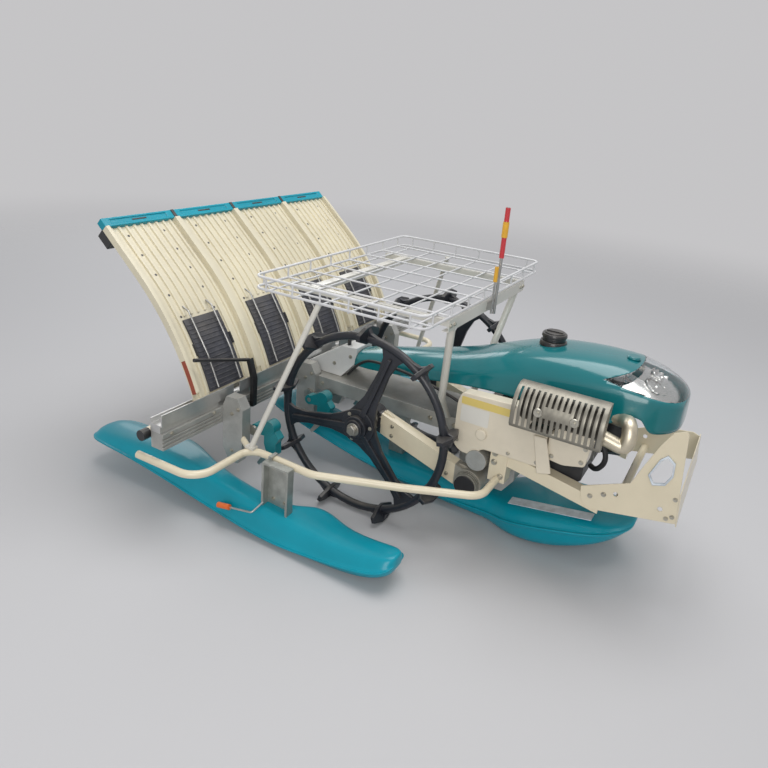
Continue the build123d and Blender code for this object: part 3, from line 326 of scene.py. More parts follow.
# how sharp the section's corners stay: soft at keel and deck, and sharp round the rim
float_creases = {
    **dict.fromkeys((0, 1, 6, 8), 0.35), **dict.fromkeys((5, 9), 0.8),
    **dict.fromkeys((2, 3, 4, 10, 11, 12), 0.9),
}
# x, inner y, outer y, and the heights of keel, rim and crown
side_float = [
    (-0.840, 0.506, 0.580, 0.096, 0.104, 0.116), (-0.832, 0.480, 0.606, 0.090, 0.105, 0.122),
    (-0.804, 0.462, 0.626, 0.084, 0.106, 0.127), (-0.740, 0.456, 0.631, 0.080, 0.106, 0.129),
    (-0.620, 0.446, 0.631, 0.066, 0.099, 0.138), (-0.505, 0.440, 0.631, 0.050, 0.084, 0.146),
    (-0.430, 0.462, 0.631, 0.040, 0.074, 0.150), (-0.366, 0.489, 0.631, 0.030, 0.064, 0.150),
    (-0.299, 0.508, 0.631, 0.020, 0.054, 0.138), (-0.205, 0.520, 0.631, 0.008, 0.040, 0.124),
    (-0.075, 0.518, 0.631, 0.001, 0.022, 0.106), (0.008, 0.512, 0.631, 0.0, 0.020, 0.102),
    (0.058, 0.452, 0.631, 0.0, 0.022, 0.098), (0.126, 0.456, 0.631, 0.0, 0.028, 0.094),
    (0.201, 0.488, 0.631, 0.002, 0.036, 0.090), (0.291, 0.498, 0.630, 0.010, 0.048, 0.095),
    (0.347, 0.502, 0.627, 0.026, 0.060, 0.103), (0.384, 0.510, 0.619, 0.044, 0.072, 0.109),
    (0.402, 0.526, 0.603, 0.060, 0.080, 0.110), (0.408, 0.548, 0.582, 0.074, 0.083, 0.104),
]
for side, label in ((-1, "right"), (1, "left")):
    stations = [[(x, side * y, z) for x, y, z in float_section(*place)] for place in side_float]
    moulded_float(f"float_{label}", stations, f"side_float_{label}")
# x, half width, and the heights of keel, rim and crown
centre_float = [
    (-0.444, 0.060, 0.158, 0.163, 0.172), (-0.436, 0.084, 0.148, 0.160, 0.178),
    (-0.300, 0.094, 0.104, 0.128, 0.147),
    (-0.120, 0.098, 0.062, 0.090, 0.118), (0.0, 0.098, 0.036, 0.066, 0.096),
    (0.200, 0.098, 0.010, 0.044, 0.094), (0.400, 0.098, 0.0, 0.036, 0.094),
    (0.500, 0.102, 0.0, 0.046, 0.094), (0.548, 0.136, 0.0, 0.060, 0.104),
    (0.600, 0.158, 0.001, 0.076, 0.116), (0.672, 0.166, 0.005, 0.094, 0.130),
    (0.755, 0.160, 0.024, 0.110, 0.142), (0.850, 0.140, 0.062, 0.122, 0.146),
    (0.912, 0.106, 0.102, 0.132, 0.149), (0.944, 0.060, 0.131, 0.141, 0.151),
    (0.952, 0.032, 0.139, 0.144, 0.151),
]
stations = [float_section(x, -half, half, *heights) for x, half, *heights in centre_float]
moulded_float("float_centre", stations, "centre_float")

# a blank pale strip stuck along the centre float's deck, beside the engine
strip_white = finish("strip_white", (0.62, 0.68, 0.74), 0.45, tone=0.25, tone_size=30.0, dust=0.3)
strip_length, strip_width, strip_wall = 0.27, 0.045, 0.002
strip_lean, strip_middle = radians(-9.0), (0.70, -0.092, 0.1345)
bm = bmesh.new()
bmesh.ops.create_grid(bm, x_segments=12, y_segments=2, size=0.5)
bmesh.ops.scale(bm, vec=(strip_length, strip_width, 1), verts=bm.verts)
bmesh.ops.rotate(bm, matrix=Matrix.Rotation(strip_lean, 3, "Y"), verts=bm.verts)
bmesh.ops.translate(bm, vec=strip_middle, verts=bm.verts)
bmesh.ops.solidify(bm, geom=bm.faces, thickness=strip_wall)
put("float_strip", bm, "chassis", strip_white)

# Float brackets and side markers
# Folded zinc-plated channels bolted to the guard tube and the float's deck. A sprung wire
# with a sleeve shows the driver where the next pass goes.


def dress(names, material):
    """Give solids their finish."""
    for name in names.split():
        nodes[name].data.materials.clear()
        nodes[name].data.materials.append(material)


def add_turned(bm, place, radius, depth, top=None, sides=32):
    """A round piece about the z of its place; it narrows where the top's radius is another."""
    bmesh.ops.create_cone(bm, cap_ends=True, segments=sides, radius1=radius,
                          radius2=radius if top is None else top, depth=depth, matrix=place)


def add_bolt(bm, at, axis, across, height):
    """A hexagon head on a round washer that stands out from a face along an axis."""
    turn = Vector((0, 0, 1)).rotation_difference(Vector(axis)).to_matrix().to_4x4()
    foot = Matrix.Translation(at) @ turn
    washer = foot @ Matrix.Translation((0, 0, height * 0.15))
    add_turned(bm, washer, across * 1.2, height * 0.4, across * 1.15, 20)
    head = foot @ Matrix.Translation((0, 0, height * 0.75))
    add_turned(bm, head, across * 0.85, height, across * 0.78, 6)


zinc = finish("zinc_plate", (0.40, 0.41, 0.38), 0.42, metallic=0.75, tone=0.22, tone_size=26.0, dust=0.3,
              fine=260.0, bump=0.2)
bolt_zinc = finish("bolt_zinc", (0.46, 0.44, 0.38), 0.35, metallic=0.85, tone=0.2, tone_size=60.0, dust=0.2)
marker_finish = finish(
    "marker_wire", (0.5, 0.5, 0.48), 0.35, metallic=0.9, dust=0.1,
    zones=[((0.78, 0.16, 0.03), 0.45, 0.0, ("x", -0.216, -0.158))],
)
dress("float_brackets", zinc)
dress("side_markers", marker_finish)
bracket_face = 0.573
bm = bmesh.new()
for side in (-1, 1):
    for x in (-0.042, 0.002):
        for z in (0.236, 0.125):
            add_bolt(bm, (x, side * bracket_face, z), (0, side, 0), 0.006, 0.005)
put("bracket_bolts", bm, "chassis", bolt_zinc)

# Wheels
# Welded from round bar, crosswise lugs and three flared arms, and dipped in blue-black
# enamel. A pointed web stiffens each lug, and a washer and nut hold the hub on its axle.


def thicken(bm, faces, by):
    """Draw flat faces out into a plate, and give the corners of its far side."""
    fresh = corners_of(bmesh.ops.extrude_face_region(bm, geom=faces)["geom"])
    bmesh.ops.translate(bm, vec=by, verts=fresh)
    return fresh


def add_drum(bm, side, x, z, radius, near, far, sides=40):
    """A round piece that lies across the machine, between two distances from its middle plane."""
    place = Matrix.Translation((x, side * (near + far) / 2, z)) @ Matrix.Rotation(radians(90), 4, "X")
    add_turned(bm, place, radius, far - near, sides=sides)


def add_bolt_circle(bm, side, x, y, z, radius, angles, across, height):
    """Bolts at some angles of a circle in the side plane."""
    for angle in angles:
        at = (x + radius * cos(radians(angle)), side * y, z + radius * sin(radians(angle)))
        add_bolt(bm, at, (0, side, 0), across, height)


def round_edges(piece, width, segments=1, sharp=30.0, harden=False):
    """Round the edges of a piece that are sharper than an angle."""
    rounding = piece.modifiers.new("rounding", "BEVEL")
    rounding.width = width
    rounding.segments = segments
    rounding.limit_method = "ANGLE"
    rounding.angle_limit = radians(sharp)
    rounding.harden_normals = harden


wheel_enamel = finish(
    "wheel_enamel", (0.012, 0.014, 0.021), 0.38, coat=0.2, tone=0.3, tone_size=14.0, rub=0.5, dust=0.25,
    bare=(0.2, 0.19, 0.18), fine=420.0, bump=0.3,
)
axle_steel = finish("axle_steel", (0.46, 0.44, 0.4), 0.32, metallic=0.9, tone=0.2, tone_size=40.0, dust=0.1)
wheel_x, wheel_z = 0.095, 0.321206
ring_y, ring_r, bar_r = 0.300, 0.300, 0.0135
lug_count = 9
arm_dish = 0.012
# outlines of (distance from the hub's middle, distance to one side of the piece's own middle line)
lug_outline = [
    (0.303, -0.060), (0.284, -0.015), (0.284, 0.015), (0.303, 0.060), (0.323, 0.060), (0.339, 0.017),
    (0.339, -0.017), (0.323, -0.060),
]
web_outline = [
    (0.290, -0.048), (0.310, -0.038), (0.319, -0.016), (0.336, -0.006), (0.336, 0.006), (0.319, 0.016),
    (0.310, 0.038), (0.290, 0.048),
]
arm_outline = [
    (0.010, 0.060), (0.060, 0.040), (0.110, 0.026), (0.210, 0.020), (0.262, 0.027), (0.296, 0.048),
    (0.296, -0.048), (0.262, -0.027), (0.210, -0.020), (0.110, -0.026), (0.060, -0.040), (0.010, -0.060),
]
rib_outline = [(0.030, 0.010), (0.270, 0.006), (0.270, -0.006), (0.030, -0.010)]
for side, label in ((-1, "right"), (1, "left")):
    body = f"wheel_body_{label}"
    bm = bmesh.new()
    # the round ring
    hub = Matrix.Translation((wheel_x, side * ring_y, wheel_z))
    bar = bmesh.ops.create_circle(bm, segments=16, radius=bar_r,
                                  matrix=hub @ Matrix.Translation((ring_r, 0, 0)))["verts"]
    bmesh.ops.spin(bm, geom=bar + list(bm.edges), cent=hub.translation, axis=(0, 1, 0), angle=2 * pi,
                   steps=72, use_merge=True)
    # the lugs, which lie across the ring and narrow to both ends, and their webs
    for number in range(lug_count):
        lean = hub @ Matrix.Rotation(radians(70 - number * 360 / lug_count), 4, "Y")
        for outline, half, turn in (
            (lug_outline, 0.007, Matrix.Rotation(radians(90), 4, "X")), (web_outline, 0.008, Matrix()),
        ):
            place = lean @ turn
            sheet = bm.faces.new([bm.verts.new(place @ Vector((x, -half, z))) for x, z in outline])
            thicken(bm, [sheet], place.to_3x3() @ Vector((0, 2 * half, 0)))
    # three arms, flared at both ends and dished out at the hub, each with a rib along its outer face
    for angle in (-70, -190, -310):
        lean = hub @ Matrix.Rotation(radians(angle), 4, "Y")
        for outline, low, high in ((arm_outline, -0.007, 0.007), (rib_outline, 0.005, 0.016)):
            sheet = bm.faces.new([
                bm.verts.new(lean @ Vector((x, side * (low + arm_dish * (1 - x / ring_r)), z)))
                for x, z in outline
            ])
            thicken(bm, [sheet], (0, side * (high - low), 0))
    # the hub
    for radius, near, far in ((0.060, 0.300, 0.324), (0.040, 0.262, 0.340), (0.030, 0.338, 0.348)):
        add_drum(bm, side, wheel_x, wheel_z, radius, near, far)
    bmesh.ops.recalc_face_normals(bm, faces=bm.faces)
    for face in bm.faces:
        face.smooth = face.calc_area() < 0.00025
    wheel = put(f"lugged_wheel_{label}", bm, body, wheel_enamel)
    round_edges(wheel, 0.0022, 2, 35.0)
    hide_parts(f"wheel_{label}")
    bm = bmesh.new()
    # the axle, its washer and its nut
    add_drum(bm, side, wheel_x, wheel_z, 0.014, 0.199, 0.364, 28)
    add_drum(bm, side, wheel_x, wheel_z, 0.022, 0.3475, 0.3515, 32)
    add_drum(bm, side, wheel_x, wheel_z, 0.017, 0.3515, 0.3635, 6)
    shade(bm, 1, 0.5)
    axle = put(f"axle_shaft_{label}", bm, body, axle_steel)
    round_edges(axle, 0.0008)
    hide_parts(f"axle_{label}")
    bm = bmesh.new()
    add_bolt_circle(bm, side, wheel_x, 0.324, wheel_z, 0.049, (10, 130, 250), 0.0055, 0.004)
    put(f"wheel_fixings_{label}", bm, body, bolt_zinc)

# Chain cases
# Cream enamelled steel cases that carry the wheels' axles and swing on the transmission's
# sleeves. Cast collars clamp them, and a black rubber boot closes the outer end.
cream = (0.74, 0.66, 0.49)
black_rubber = (0.012, 0.012, 0.014)
bare_steel = (0.3, 0.27, 0.23)
cream_enamel = finish(
    "cream_enamel", cream, 0.34, coat=0.3, tone=0.06, tone_size=5.0, rub=0.55, bare=bare_steel, dust=0.12,
    fine=380.0, bump=0.1,
)
case_enamel = finish(
    "case_enamel", cream, 0.34, coat=0.2, tone=0.08, tone_size=9.0, rub=0.5, dust=0.18, fine=380.0, bump=0.12,
    zones=[
        ((0.40, 0.38, 0.33), 0.45, 0.5, ("x", 0.412, 0.52)),
        ((0.05, 0.05, 0.055), 0.5, 0.3, ("x", 0.03, 0.132)),
    ],
)
collar_grey = finish(
    "collar_grey", (0.34, 0.33, 0.29), 0.45, metallic=0.6, tone=0.2, tone_size=30.0, dust=0.3, fine=260.0,
    bump=0.3, zones=[(black_rubber, 0.6, 0.0, ("away", 0.2532, 0.27), ("x", 0.42, 0.50))],
)
pivot_x, pivot_z = 0.460, 0.205
# how far out the case's middle, its side and its bosses' faces lie
case_y, case_side, boss_face = 0.212, 0.232, 0.234
for side, label in ((-1, "right"), (1, "left")):
    body = f"swing_{label}"
    bm = bmesh.new()
    # the case's long body, drawn round a disc at each end
    for x, z in ((wheel_x, wheel_z), (pivot_x, pivot_z)):
        add_drum(bm, side, x, z, 0.034, case_y - 0.020, case_y + 0.020)
    bmesh.ops.convex_hull(bm, input=bm.verts)
    bmesh.ops.dissolve_limit(bm, angle_limit=radians(1), verts=bm.verts, edges=bm.edges)
    # a wider boss over each disc, and a band beside each boss
    for x, z, radius, half in (
        (wheel_x, wheel_z, 0.040, 0.022), (pivot_x, pivot_z, 0.046, 0.022),
        (0.138, 0.3075, 0.041, 0.006), (0.430, 0.2146, 0.041, 0.006),
    ):
        add_drum(bm, side, x, z, radius, case_y - half, case_y + half)
    bmesh.ops.recalc_face_normals(bm, faces=bm.faces)
    shade(bm, 1)
    case = put(f"chain_case_{label}", bm, body, case_enamel)
    round_edges(case, 0.005, 3)
    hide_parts(f"swing_case_{label}")
    bm = bmesh.new()
    # the collar's ribs and the rubber boot on the sleeve, and the boss that the axle leaves by
    for x, z, radius, near, far in (
        (pivot_x, pivot_z, 0.042, 0.23425, 0.23875), (pivot_x, pivot_z, 0.040, 0.24125, 0.24575),
        (pivot_x, pivot_z, 0.038, 0.24825, 0.25275), (pivot_x, pivot_z, 0.034, 0.233, 0.259),
        (wheel_x, wheel_z, 0.027, 0.232, 0.246),
    ):
        add_drum(bm, side, x, z, radius, near, far, 36)
    shade(bm, 1)
    put(f"case_collar_{label}", bm, body, collar_grey)
    bm = bmesh.new()
    for x, z in ((0.176, 0.312), (0.176, 0.278), (0.372, 0.250), (0.385, 0.213)):
        add_bolt(bm, (x, side * case_side, z), (0, side, 0), 0.0055, 0.005)
    add_bolt_circle(bm, side, wheel_x, boss_face, wheel_z, 0.0365, (20, 92, 164, 236, 308), 0.003, 0.003)
    put(f"case_bolts_{label}", bm, body, bolt_zinc)

# Transmission, engine frame and bumper
# A die-cast gear case, two rails that carry the engine, and thin plates that guard the
# nose. Rails and plates are of steel, enamelled cream and bolted through.


def skin(name, body, material, edge):
    """A copy of a solid with smooth faces and small rounded edges, which stands for it."""
    sharp = 28.0
    bm = bmesh.new()
    bm.from_mesh(nodes[name].data)
    bmesh.ops.remove_doubles(bm, verts=bm.verts, dist=0.00002)
    bmesh.ops.dissolve_limit(bm, angle_limit=radians(0.6), verts=bm.verts, edges=bm.edges)
    shade(bm)
    for line in bm.edges:
        line.smooth = line.is_manifold and line.calc_face_angle() < radians(sharp)
    piece = put(name + "_skin", bm, body, material)
    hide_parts(name)
    round_edges(piece, edge, 2, sharp, True)


def add_wall(piece, thickness, offset=-1.0):
    """Give a sheet its thickness; an offset of -1 lays it inside and 0 to both sides."""
    wall = piece.modifiers.new("wall", "SOLIDIFY")
    wall.thickness = thickness
    wall.offset = offset


def close_loop(bm, points, y):
    """Edges through (x, z) points of the side plane, closed at the end."""
    corners = [bm.verts.new((x, y, z)) for x, z in points]
    return [bm.edges.new(pair) for pair in zip(corners, corners[1:] + corners[:1])]


def cut_plate(bm, outline, holes, y, thick):
    """A plate in the side plane with holes through it."""
    lines = [line for loop in [outline] + holes for line in close_loop(bm, loop, y)]
    filled = bmesh.ops.triangle_fill(bm, use_beauty=True, use_dissolve=False, edges=lines)["geom"]
    thicken(bm, [part for part in filled if isinstance(part, bmesh.types.BMFace)], (0, thick, 0))


def ring_points(x, z, radius, count=20):
    """Points of a round hole."""
    angles = [2 * pi * i / count for i in range(count)]
    return [(x + radius * cos(angle), z + radius * sin(angle)) for angle in angles]


cast_grey = finish(
    "cast_grey", (0.42, 0.42, 0.40), 0.46, metallic=0.6, tone=0.2, tone_size=12.0, rub=0.4, dust=0.35,
    bare=(0.6, 0.6, 0.58), fine=240.0, wave=0.8, bump=0.35,
)
skin("transmission_case", "chassis", cast_grey, 0.004)
skin("engine_frame", "chassis", cream_enamel, 0.002)
# (x, z) points of the right plate, of the window in it and of the lower left plate
bumper_side = [
    (0.802, 0.322), (0.931, 0.378), (0.953, 0.436), (0.984, 0.512), (1.010, 0.560), (1.040, 0.574),
    (1.047, 0.566), (1.066, 0.300), (0.826, 0.256), (0.806, 0.285),
]
window = [
    (0.974, 0.424), (0.994, 0.476), (1.010, 0.492), (1.030, 0.476), (1.032, 0.440), (1.018, 0.410),
    (0.988, 0.400),
]
far_side = [
    (0.802, 0.322), (0.931, 0.378), (1.040, 0.392), (1.060, 0.384), (1.066, 0.300), (0.826, 0.256),
    (0.806, 0.285),
]
tie_holes = [ring_points(x, 0.330, 0.007) for x in (0.900, 1.020)]
plate_y, plate_wall = 0.226, 0.004
bm = bmesh.new()
cut_plate(bm, bumper_side, [window] + tie_holes, -plate_y, plate_wall)
cut_plate(bm, far_side, tie_holes, plate_y - plate_wall, plate_wall)
# the plate across the nose, which leans back, and the round cross bar
across_nose = bm.faces.new([bm.verts.new(place) for place in (
    (1.067, -plate_y, 0.292), (1.067, plate_y, 0.292), (1.060, plate_y, 0.392), (1.060, -plate_y, 0.392),
)])
thicken(bm, [across_nose], (0.003, 0, 0))
add_drum(bm, 1, 0.905, 0.290, 0.012, -0.224, 0.224, 24)
bmesh.ops.recalc_face_normals(bm, faces=bm.faces)
bumper = put("bumper_plates", bm, "chassis", cream_enamel)
round_edges(bumper, 0.0007)
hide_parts("front_bumper")
bm = bmesh.new()
# the white flange round the window of the right plate, on the muffler's side
lip = bmesh.ops.extrude_edge_only(bm, edges=close_loop(bm, window, -plate_y))["geom"]
bmesh.ops.translate(bm, vec=(0, -0.010, 0), verts=corners_of(lip))
shade(bm)
flange = put("window_flange", bm, "chassis", strip_white)
add_wall(flange, 0.0045, 0.0)
bm = bmesh.new()
# the bolts' places, widths and heights
for side in (-1, 1):
    for x, z, across, height in (
        (0.535, 0.305, 0.0085, 0.006), (0.560, 0.262, 0.0085, 0.006), (0.535, 0.335, 0.0085, 0.006),
        (1.052, 0.372, 0.0055, 0.004), (1.054, 0.318, 0.0055, 0.004), (1.040, 0.308, 0.0055, 0.004),
        (0.832, 0.300, 0.0065, 0.004), (0.868, 0.318, 0.0065, 0.004),
    ):
        add_bolt(bm, (x, side * plate_y, z), (0, side, 0), across, height)
put("frame_bolts", bm, "chassis", bolt_zinc)

# Engine
# A single-cylinder engine of black-painted iron with cooling fins, a fan housing on the
# front and rubber hoses. Most of it hides under the hood and behind the covers.


def add_block(bm, low, high):
    """A block between two corners."""
    low, high = Vector(low), Vector(high)
    middle = Matrix.Translation((low + high) / 2) @ Matrix.Diagonal((*(high - low), 1))
    bmesh.ops.create_cube(bm, size=1, matrix=middle)


def hose(name, points, radius, body, material):
    """A bent hose, cable or pipe of one thickness along a smooth line."""
    curve = bpy.data.curves.new(name, "CURVE")
    curve.dimensions = "3D"
    curve.bevel_depth = radius
    curve.bevel_resolution = 4
    curve.use_fill_caps = True
    curve.resolution_u = 8
    line = curve.splines.new("NURBS")
    line.points.add(len(points) - 1)
    for point, at in zip(line.points, points):
        point.co = (*at, 1)
    line.order_u = 3
    line.use_endpoint_u = True
    curve.materials.append(material)
    obj = bpy.data.objects.new(name, curve)
    bpy.context.collection.objects.link(obj)
    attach(obj, body)


engine_black = finish(
    "engine_black", (0.025, 0.026, 0.03), 0.5, tone=0.35, tone_size=22.0, rub=0.6, dust=0.35,
    bare=(0.22, 0.2, 0.18), fine=240.0, wave=0.7, bump=0.4,
)
fin_alloy = finish("fin_alloy", (0.30, 0.30, 0.29), 0.45, metallic=0.7, tone=0.25, tone_size=30.0, dust=0.3,
                   fine=300.0, bump=0.4)
skin("engine_block", "chassis", engine_black, 0.004)
engine_face = 0.7895
fin_pitch, rib_pitch = 0.0125, 0.04
bm = bmesh.new()
# cooling fins across the front of the cylinder, and the ribs of the crankcase door
for i in range(9):
    z = 0.470 + i * fin_pitch
    add_block(bm, (engine_face, -0.100, z), (0.816, 0.100, z + 0.004))
for i in range(6):
    y = -0.10 + i * rib_pitch
    add_block(bm, (engine_face, y, 0.345), (0.800, y + 0.006, 0.445))
put("cooling_fins", bm, "chassis", fin_alloy)
bm = bmesh.new()
# the fan housing: a round drum whose front face is stepped in by insets, on a narrower neck
add_turned(bm, Matrix(), 0.088, 0.05, 0.080, 48)
front = max(bm.faces, key=lambda face: face.calc_center_median().z)
for step, depth in ((0.012, -0.006), (0.018, 0.010), (0.02, -0.004)):
    bmesh.ops.inset_individual(bm, faces=[front], thickness=step, depth=depth)
add_turned(bm, Matrix.Translation((0, 0, -0.036)), 0.052, 0.03)
turned = Matrix.Translation((0.838, 0.02, 0.42)) @ Matrix.Rotation(radians(90), 4, "Y")
bmesh.ops.transform(bm, matrix=turned, verts=bm.verts)
shade(bm, 0, 0.5)
fan = put("fan_housing", bm, "chassis", engine_black)
round_edges(fan, 0.0015)
hose_rubber = finish("hose_rubber", (0.016, 0.016, 0.018), 0.5, tone=0.2, dust=0.25, fine=300.0)
hose("plug_lead", [
    (0.79, -0.06, 0.56), (0.85, -0.09, 0.55), (0.90, -0.12, 0.47), (0.87, -0.13, 0.41), (0.80, -0.12, 0.39),
], 0.0035, "chassis", hose_rubber)
hose("breather_hose", [
    (0.79, -0.13, 0.46), (0.83, -0.16, 0.44), (0.85, -0.165, 0.39), (0.82, -0.15, 0.34), (0.80, -0.12, 0.34),
], 0.008, "chassis", hose_rubber)
hose("fuel_hose", [
    (0.79, 0.08, 0.58), (0.84, 0.10, 0.56), (0.86, 0.11, 0.48), (0.83, 0.12, 0.40), (0.80, 0.12, 0.38),
], 0.005, "chassis", hose_rubber)

# Covers, muffler and guard
# Pressed steel covers in cream enamel over the engine's right side, a round muffler with a
# bent outlet, and a pressed guard with slots, held by two dished screws.
cover_enamel = finish(
    "cover_enamel", (0.72, 0.65, 0.52), 0.36, coat=0.25, tone=0.08, tone_size=7.0, rub=0.5,
    bare=(0.3, 0.26, 0.22), dust=0.2, fine=380.0, bump=0.12,
)
hot_steel = finish(
    "hot_steel", (0.62, 0.56, 0.44), 0.38, metallic=0.85, tone=0.25, tone_size=16.0, dust=0.2, fine=260.0,
    bump=0.2,
)
sooty_steel = finish(
    "sooty_steel", (0.11, 0.10, 0.085), 0.5, metallic=0.6, tone=0.3, tone_size=22.0, dust=0.2, fine=260.0,
    bump=0.3,
)
guard_steel = finish(
    "guard_steel", (0.27, 0.255, 0.215), 0.42, metallic=0.65, tone=0.22, tone_size=18.0, rub=0.4,
    bare=(0.7, 0.68, 0.6), dust=0.25, fine=320.0, bump=0.2,
)
cover_y, small_cover_y, strap_y = -0.234, -0.228, -0.242


def round_corners(bm, lines, radius, segments):
    """Round some edges of a mesh."""
    bmesh.ops.bevel(bm, geom=lines, offset=radius, offset_type="OFFSET", affect="EDGES", segments=segments,
                    profile=0.5, material=-1)


def pressed_cover(bm, outline, face_y, back_y, corner):
    """A pressed cover with rounded corners: its outline is of (x, z) points."""
    sheet = bm.faces.new([bm.verts.new((x, face_y, z)) for x, z in outline])
    fresh = thicken(bm, [sheet], (0, back_y - face_y, 0))
    upright = [line for vert in fresh for line in vert.link_edges if line.other_vert(vert) not in fresh]
    round_corners(bm, upright, corner, 6)


bm = bmesh.new()
pressed_cover(bm, [
    (0.394, 0.330), (0.420, 0.306), (0.470, 0.304), (0.490, 0.338), (0.684, 0.338), (0.684, 0.480),
    (0.592, 0.480), (0.592, 0.513), (0.405, 0.506), (0.394, 0.470),
], cover_y, -0.190, 0.014)
pressed_cover(bm, [
    (0.688, 0.372), (0.739, 0.366), (0.802, 0.381), (0.810, 0.452), (0.688, 0.456),
], small_cover_y, -0.172, 0.008)
# a strap over the joint, and the round boss pressed out of the cover
pressed_cover(bm, [(0.646, 0.440), (0.684, 0.442), (0.714, 0.334), (0.672, 0.322)], strap_y, cover_y, 0.004)
lying = Matrix.Rotation(radians(90), 4, "X")
add_turned(bm, Matrix.Translation((0.485, -0.238, 0.387)) @ lying, 0.019, 0.012, 0.0165)
bmesh.ops.recalc_face_normals(bm, faces=bm.faces)
covers = put("pressed_covers", bm, "chassis", cover_enamel)
round_edges(covers, 0.0035, 3, harden=True)
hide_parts("engine_covers")

bm = bmesh.new()
# the muffler's body behind the guard, and its bracket to the engine
forward = Matrix.Rotation(radians(90), 4, "Y")
add_turned(bm, Matrix.Translation((0.726, -0.270, 0.545)) @ forward, 0.044, 0.228, sides=40)
add_block(bm, (0.640, -0.290, 0.474), (0.700, -0.126, 0.492))
for face in bm.faces:
    face.smooth = abs(face.normal.x) < 0.5 and len(face.verts) == 4 and face.calc_area() < 0.002
muffler = put("muffler_body", bm, "chassis", sooty_steel)
round_edges(muffler, 0.003)
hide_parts("muffler")

# (y, z) points down the guard's bent profile, and the slots cut along it
guard_profile = [
    (-0.262, 0.612), (-0.282, 0.613), (-0.302, 0.607), (-0.319, 0.594), (-0.331, 0.577), (-0.338, 0.560),
    (-0.340, 0.546), (-0.340, 0.524), (-0.340, 0.504), (-0.334, 0.494), (-0.318, 0.489),
]
guard_middle, slot_pitch, slot_half, slot_count = 0.723, 0.016, 0.0033, 15
centre_slot = slot_count // 2
whole_slots = range(5, 10)
cuts = [0.596, 0.603]
for number in range(slot_count):
    middle = guard_middle + (number - centre_slot) * slot_pitch
    cuts += [middle - slot_half, middle + slot_half]
cuts += [0.843, 0.850]
bm = bmesh.new()
# the guard is drawn along the muffler from one end to the other
row = [bm.verts.new((cuts[0], y, z)) for y, z in guard_profile]
lines = [bm.edges.new(pair) for pair in zip(row, row[1:])]
for at, following in zip(cuts, cuts[1:]):
    drawn = bmesh.ops.extrude_edge_only(bm, edges=lines)["geom"]
    fresh = corners_of(drawn)
    bmesh.ops.translate(bm, vec=(following - at, 0, 0), verts=fresh)
    lines = [part for part in drawn if isinstance(part, bmesh.types.BMEdge)
             and all(vert in fresh for vert in part.verts)]
# the slots stay open: all have an upper and a lower part, with a bridge in the middle ones
slots = []
for face in bm.faces:
    centre = face.calc_center_median()
    column = (centre.x - guard_middle) / slot_pitch + centre_slot
    if abs(column - round(column)) < 0.15 and -0.5 < column < slot_count - 0.5:
        upper, lower = 0.577 < centre.z < 0.607, 0.504 < centre.z < 0.546
        bridge = 0.546 < centre.z < 0.577 and round(column) not in whole_slots
        if upper or lower or bridge:
            slots.append(face)
bmesh.ops.delete(bm, geom=slots, context="FACES_ONLY")
bmesh.ops.delete(bm, geom=[line for line in bm.edges if not line.link_faces], context="EDGES")


def profile_step(vert):
    """How far along the guard's profile a corner lies."""
    return min(range(len(guard_profile)),
               key=lambda i: abs(guard_profile[i][0] - vert.co.y) + abs(guard_profile[i][1] - vert.co.z))


for x in (cuts[0], cuts[-1]):
    rim = [vert for vert in bm.verts if abs(vert.co.x - x) < 1e-5]
    bm.faces.new(sorted(rim, key=profile_step))
bmesh.ops.recalc_face_normals(bm, faces=bm.faces)
shade(bm, 0, 0.5)
guard = put("slotted_guard", bm, "chassis", guard_steel)
add_wall(guard, 0.002, 0.0)
round_edges(guard, 0.0006, 2)
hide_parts("muffler_guard")
hose("exhaust_pipe", [
    (0.836, -0.270, 0.512), (0.866, -0.270, 0.504), (0.902, -0.269, 0.494), (0.908, -0.266, 0.530),
    (0.900, -0.250, 0.560), (0.888, -0.200, 0.545), (0.868, -0.150, 0.522), (0.780, -0.110, 0.515),
], 0.0205, "chassis", hot_steel)
cup_y, cup_z = -0.3405, 0.557
bm = bmesh.new()
# each screw of the guard in its dished cup, and then the bolts of both covers
for x in (0.672, 0.773):
    add_turned(bm, Matrix.Translation((x, cup_y, cup_z)) @ lying, 0.0135, 0.003, 0.0115, 28)
    add_bolt(bm, (x, cup_y - 0.001, cup_z), (0, -1, 0), 0.0055, 0.004)
for x, z in ((0.408, 0.344), (0.576, 0.352), (0.664, 0.352)):
    add_bolt(bm, (x, cover_y, z), (0, -1, 0), 0.005, 0.004)
for x, z in ((0.704, 0.386), (0.790, 0.394), (0.796, 0.438)):
    add_bolt(bm, (x, small_cover_y, z), (0, -1, 0), 0.006, 0.004)
put("cover_bolts", bm, "chassis", bolt_zinc)

# two blank plates on the large cover, one yellow and one pale
plate_yellow = finish("plate_yellow", (0.72, 0.56, 0.16), 0.4, coat=0.2, tone=0.06, dust=0.1, fine=200.0,
                      bump=0.05)
plate_pale = finish("plate_pale", (0.72, 0.70, 0.64), 0.42, coat=0.15, tone=0.05, dust=0.1, fine=200.0,
                    bump=0.05)
plate_face, plate_back = cover_y - 0.001, cover_y + 0.0002
for label, low, high, surface in (
    ("yellow", (0.408, plate_face, 0.470), (0.572, plate_back, 0.494), plate_yellow),
    ("pale", (0.410, plate_face, 0.412), (0.502, plate_back, 0.466), plate_pale),
):
    bm = bmesh.new()
    add_block(bm, low, high)
    rim = [line for line in bm.edges if abs(line.verts[0].co.y - line.verts[1].co.y) > 0.0004]
    round_corners(bm, rim, 0.004, 4)
    put("cover_plate_" + label, bm, "chassis", surface)

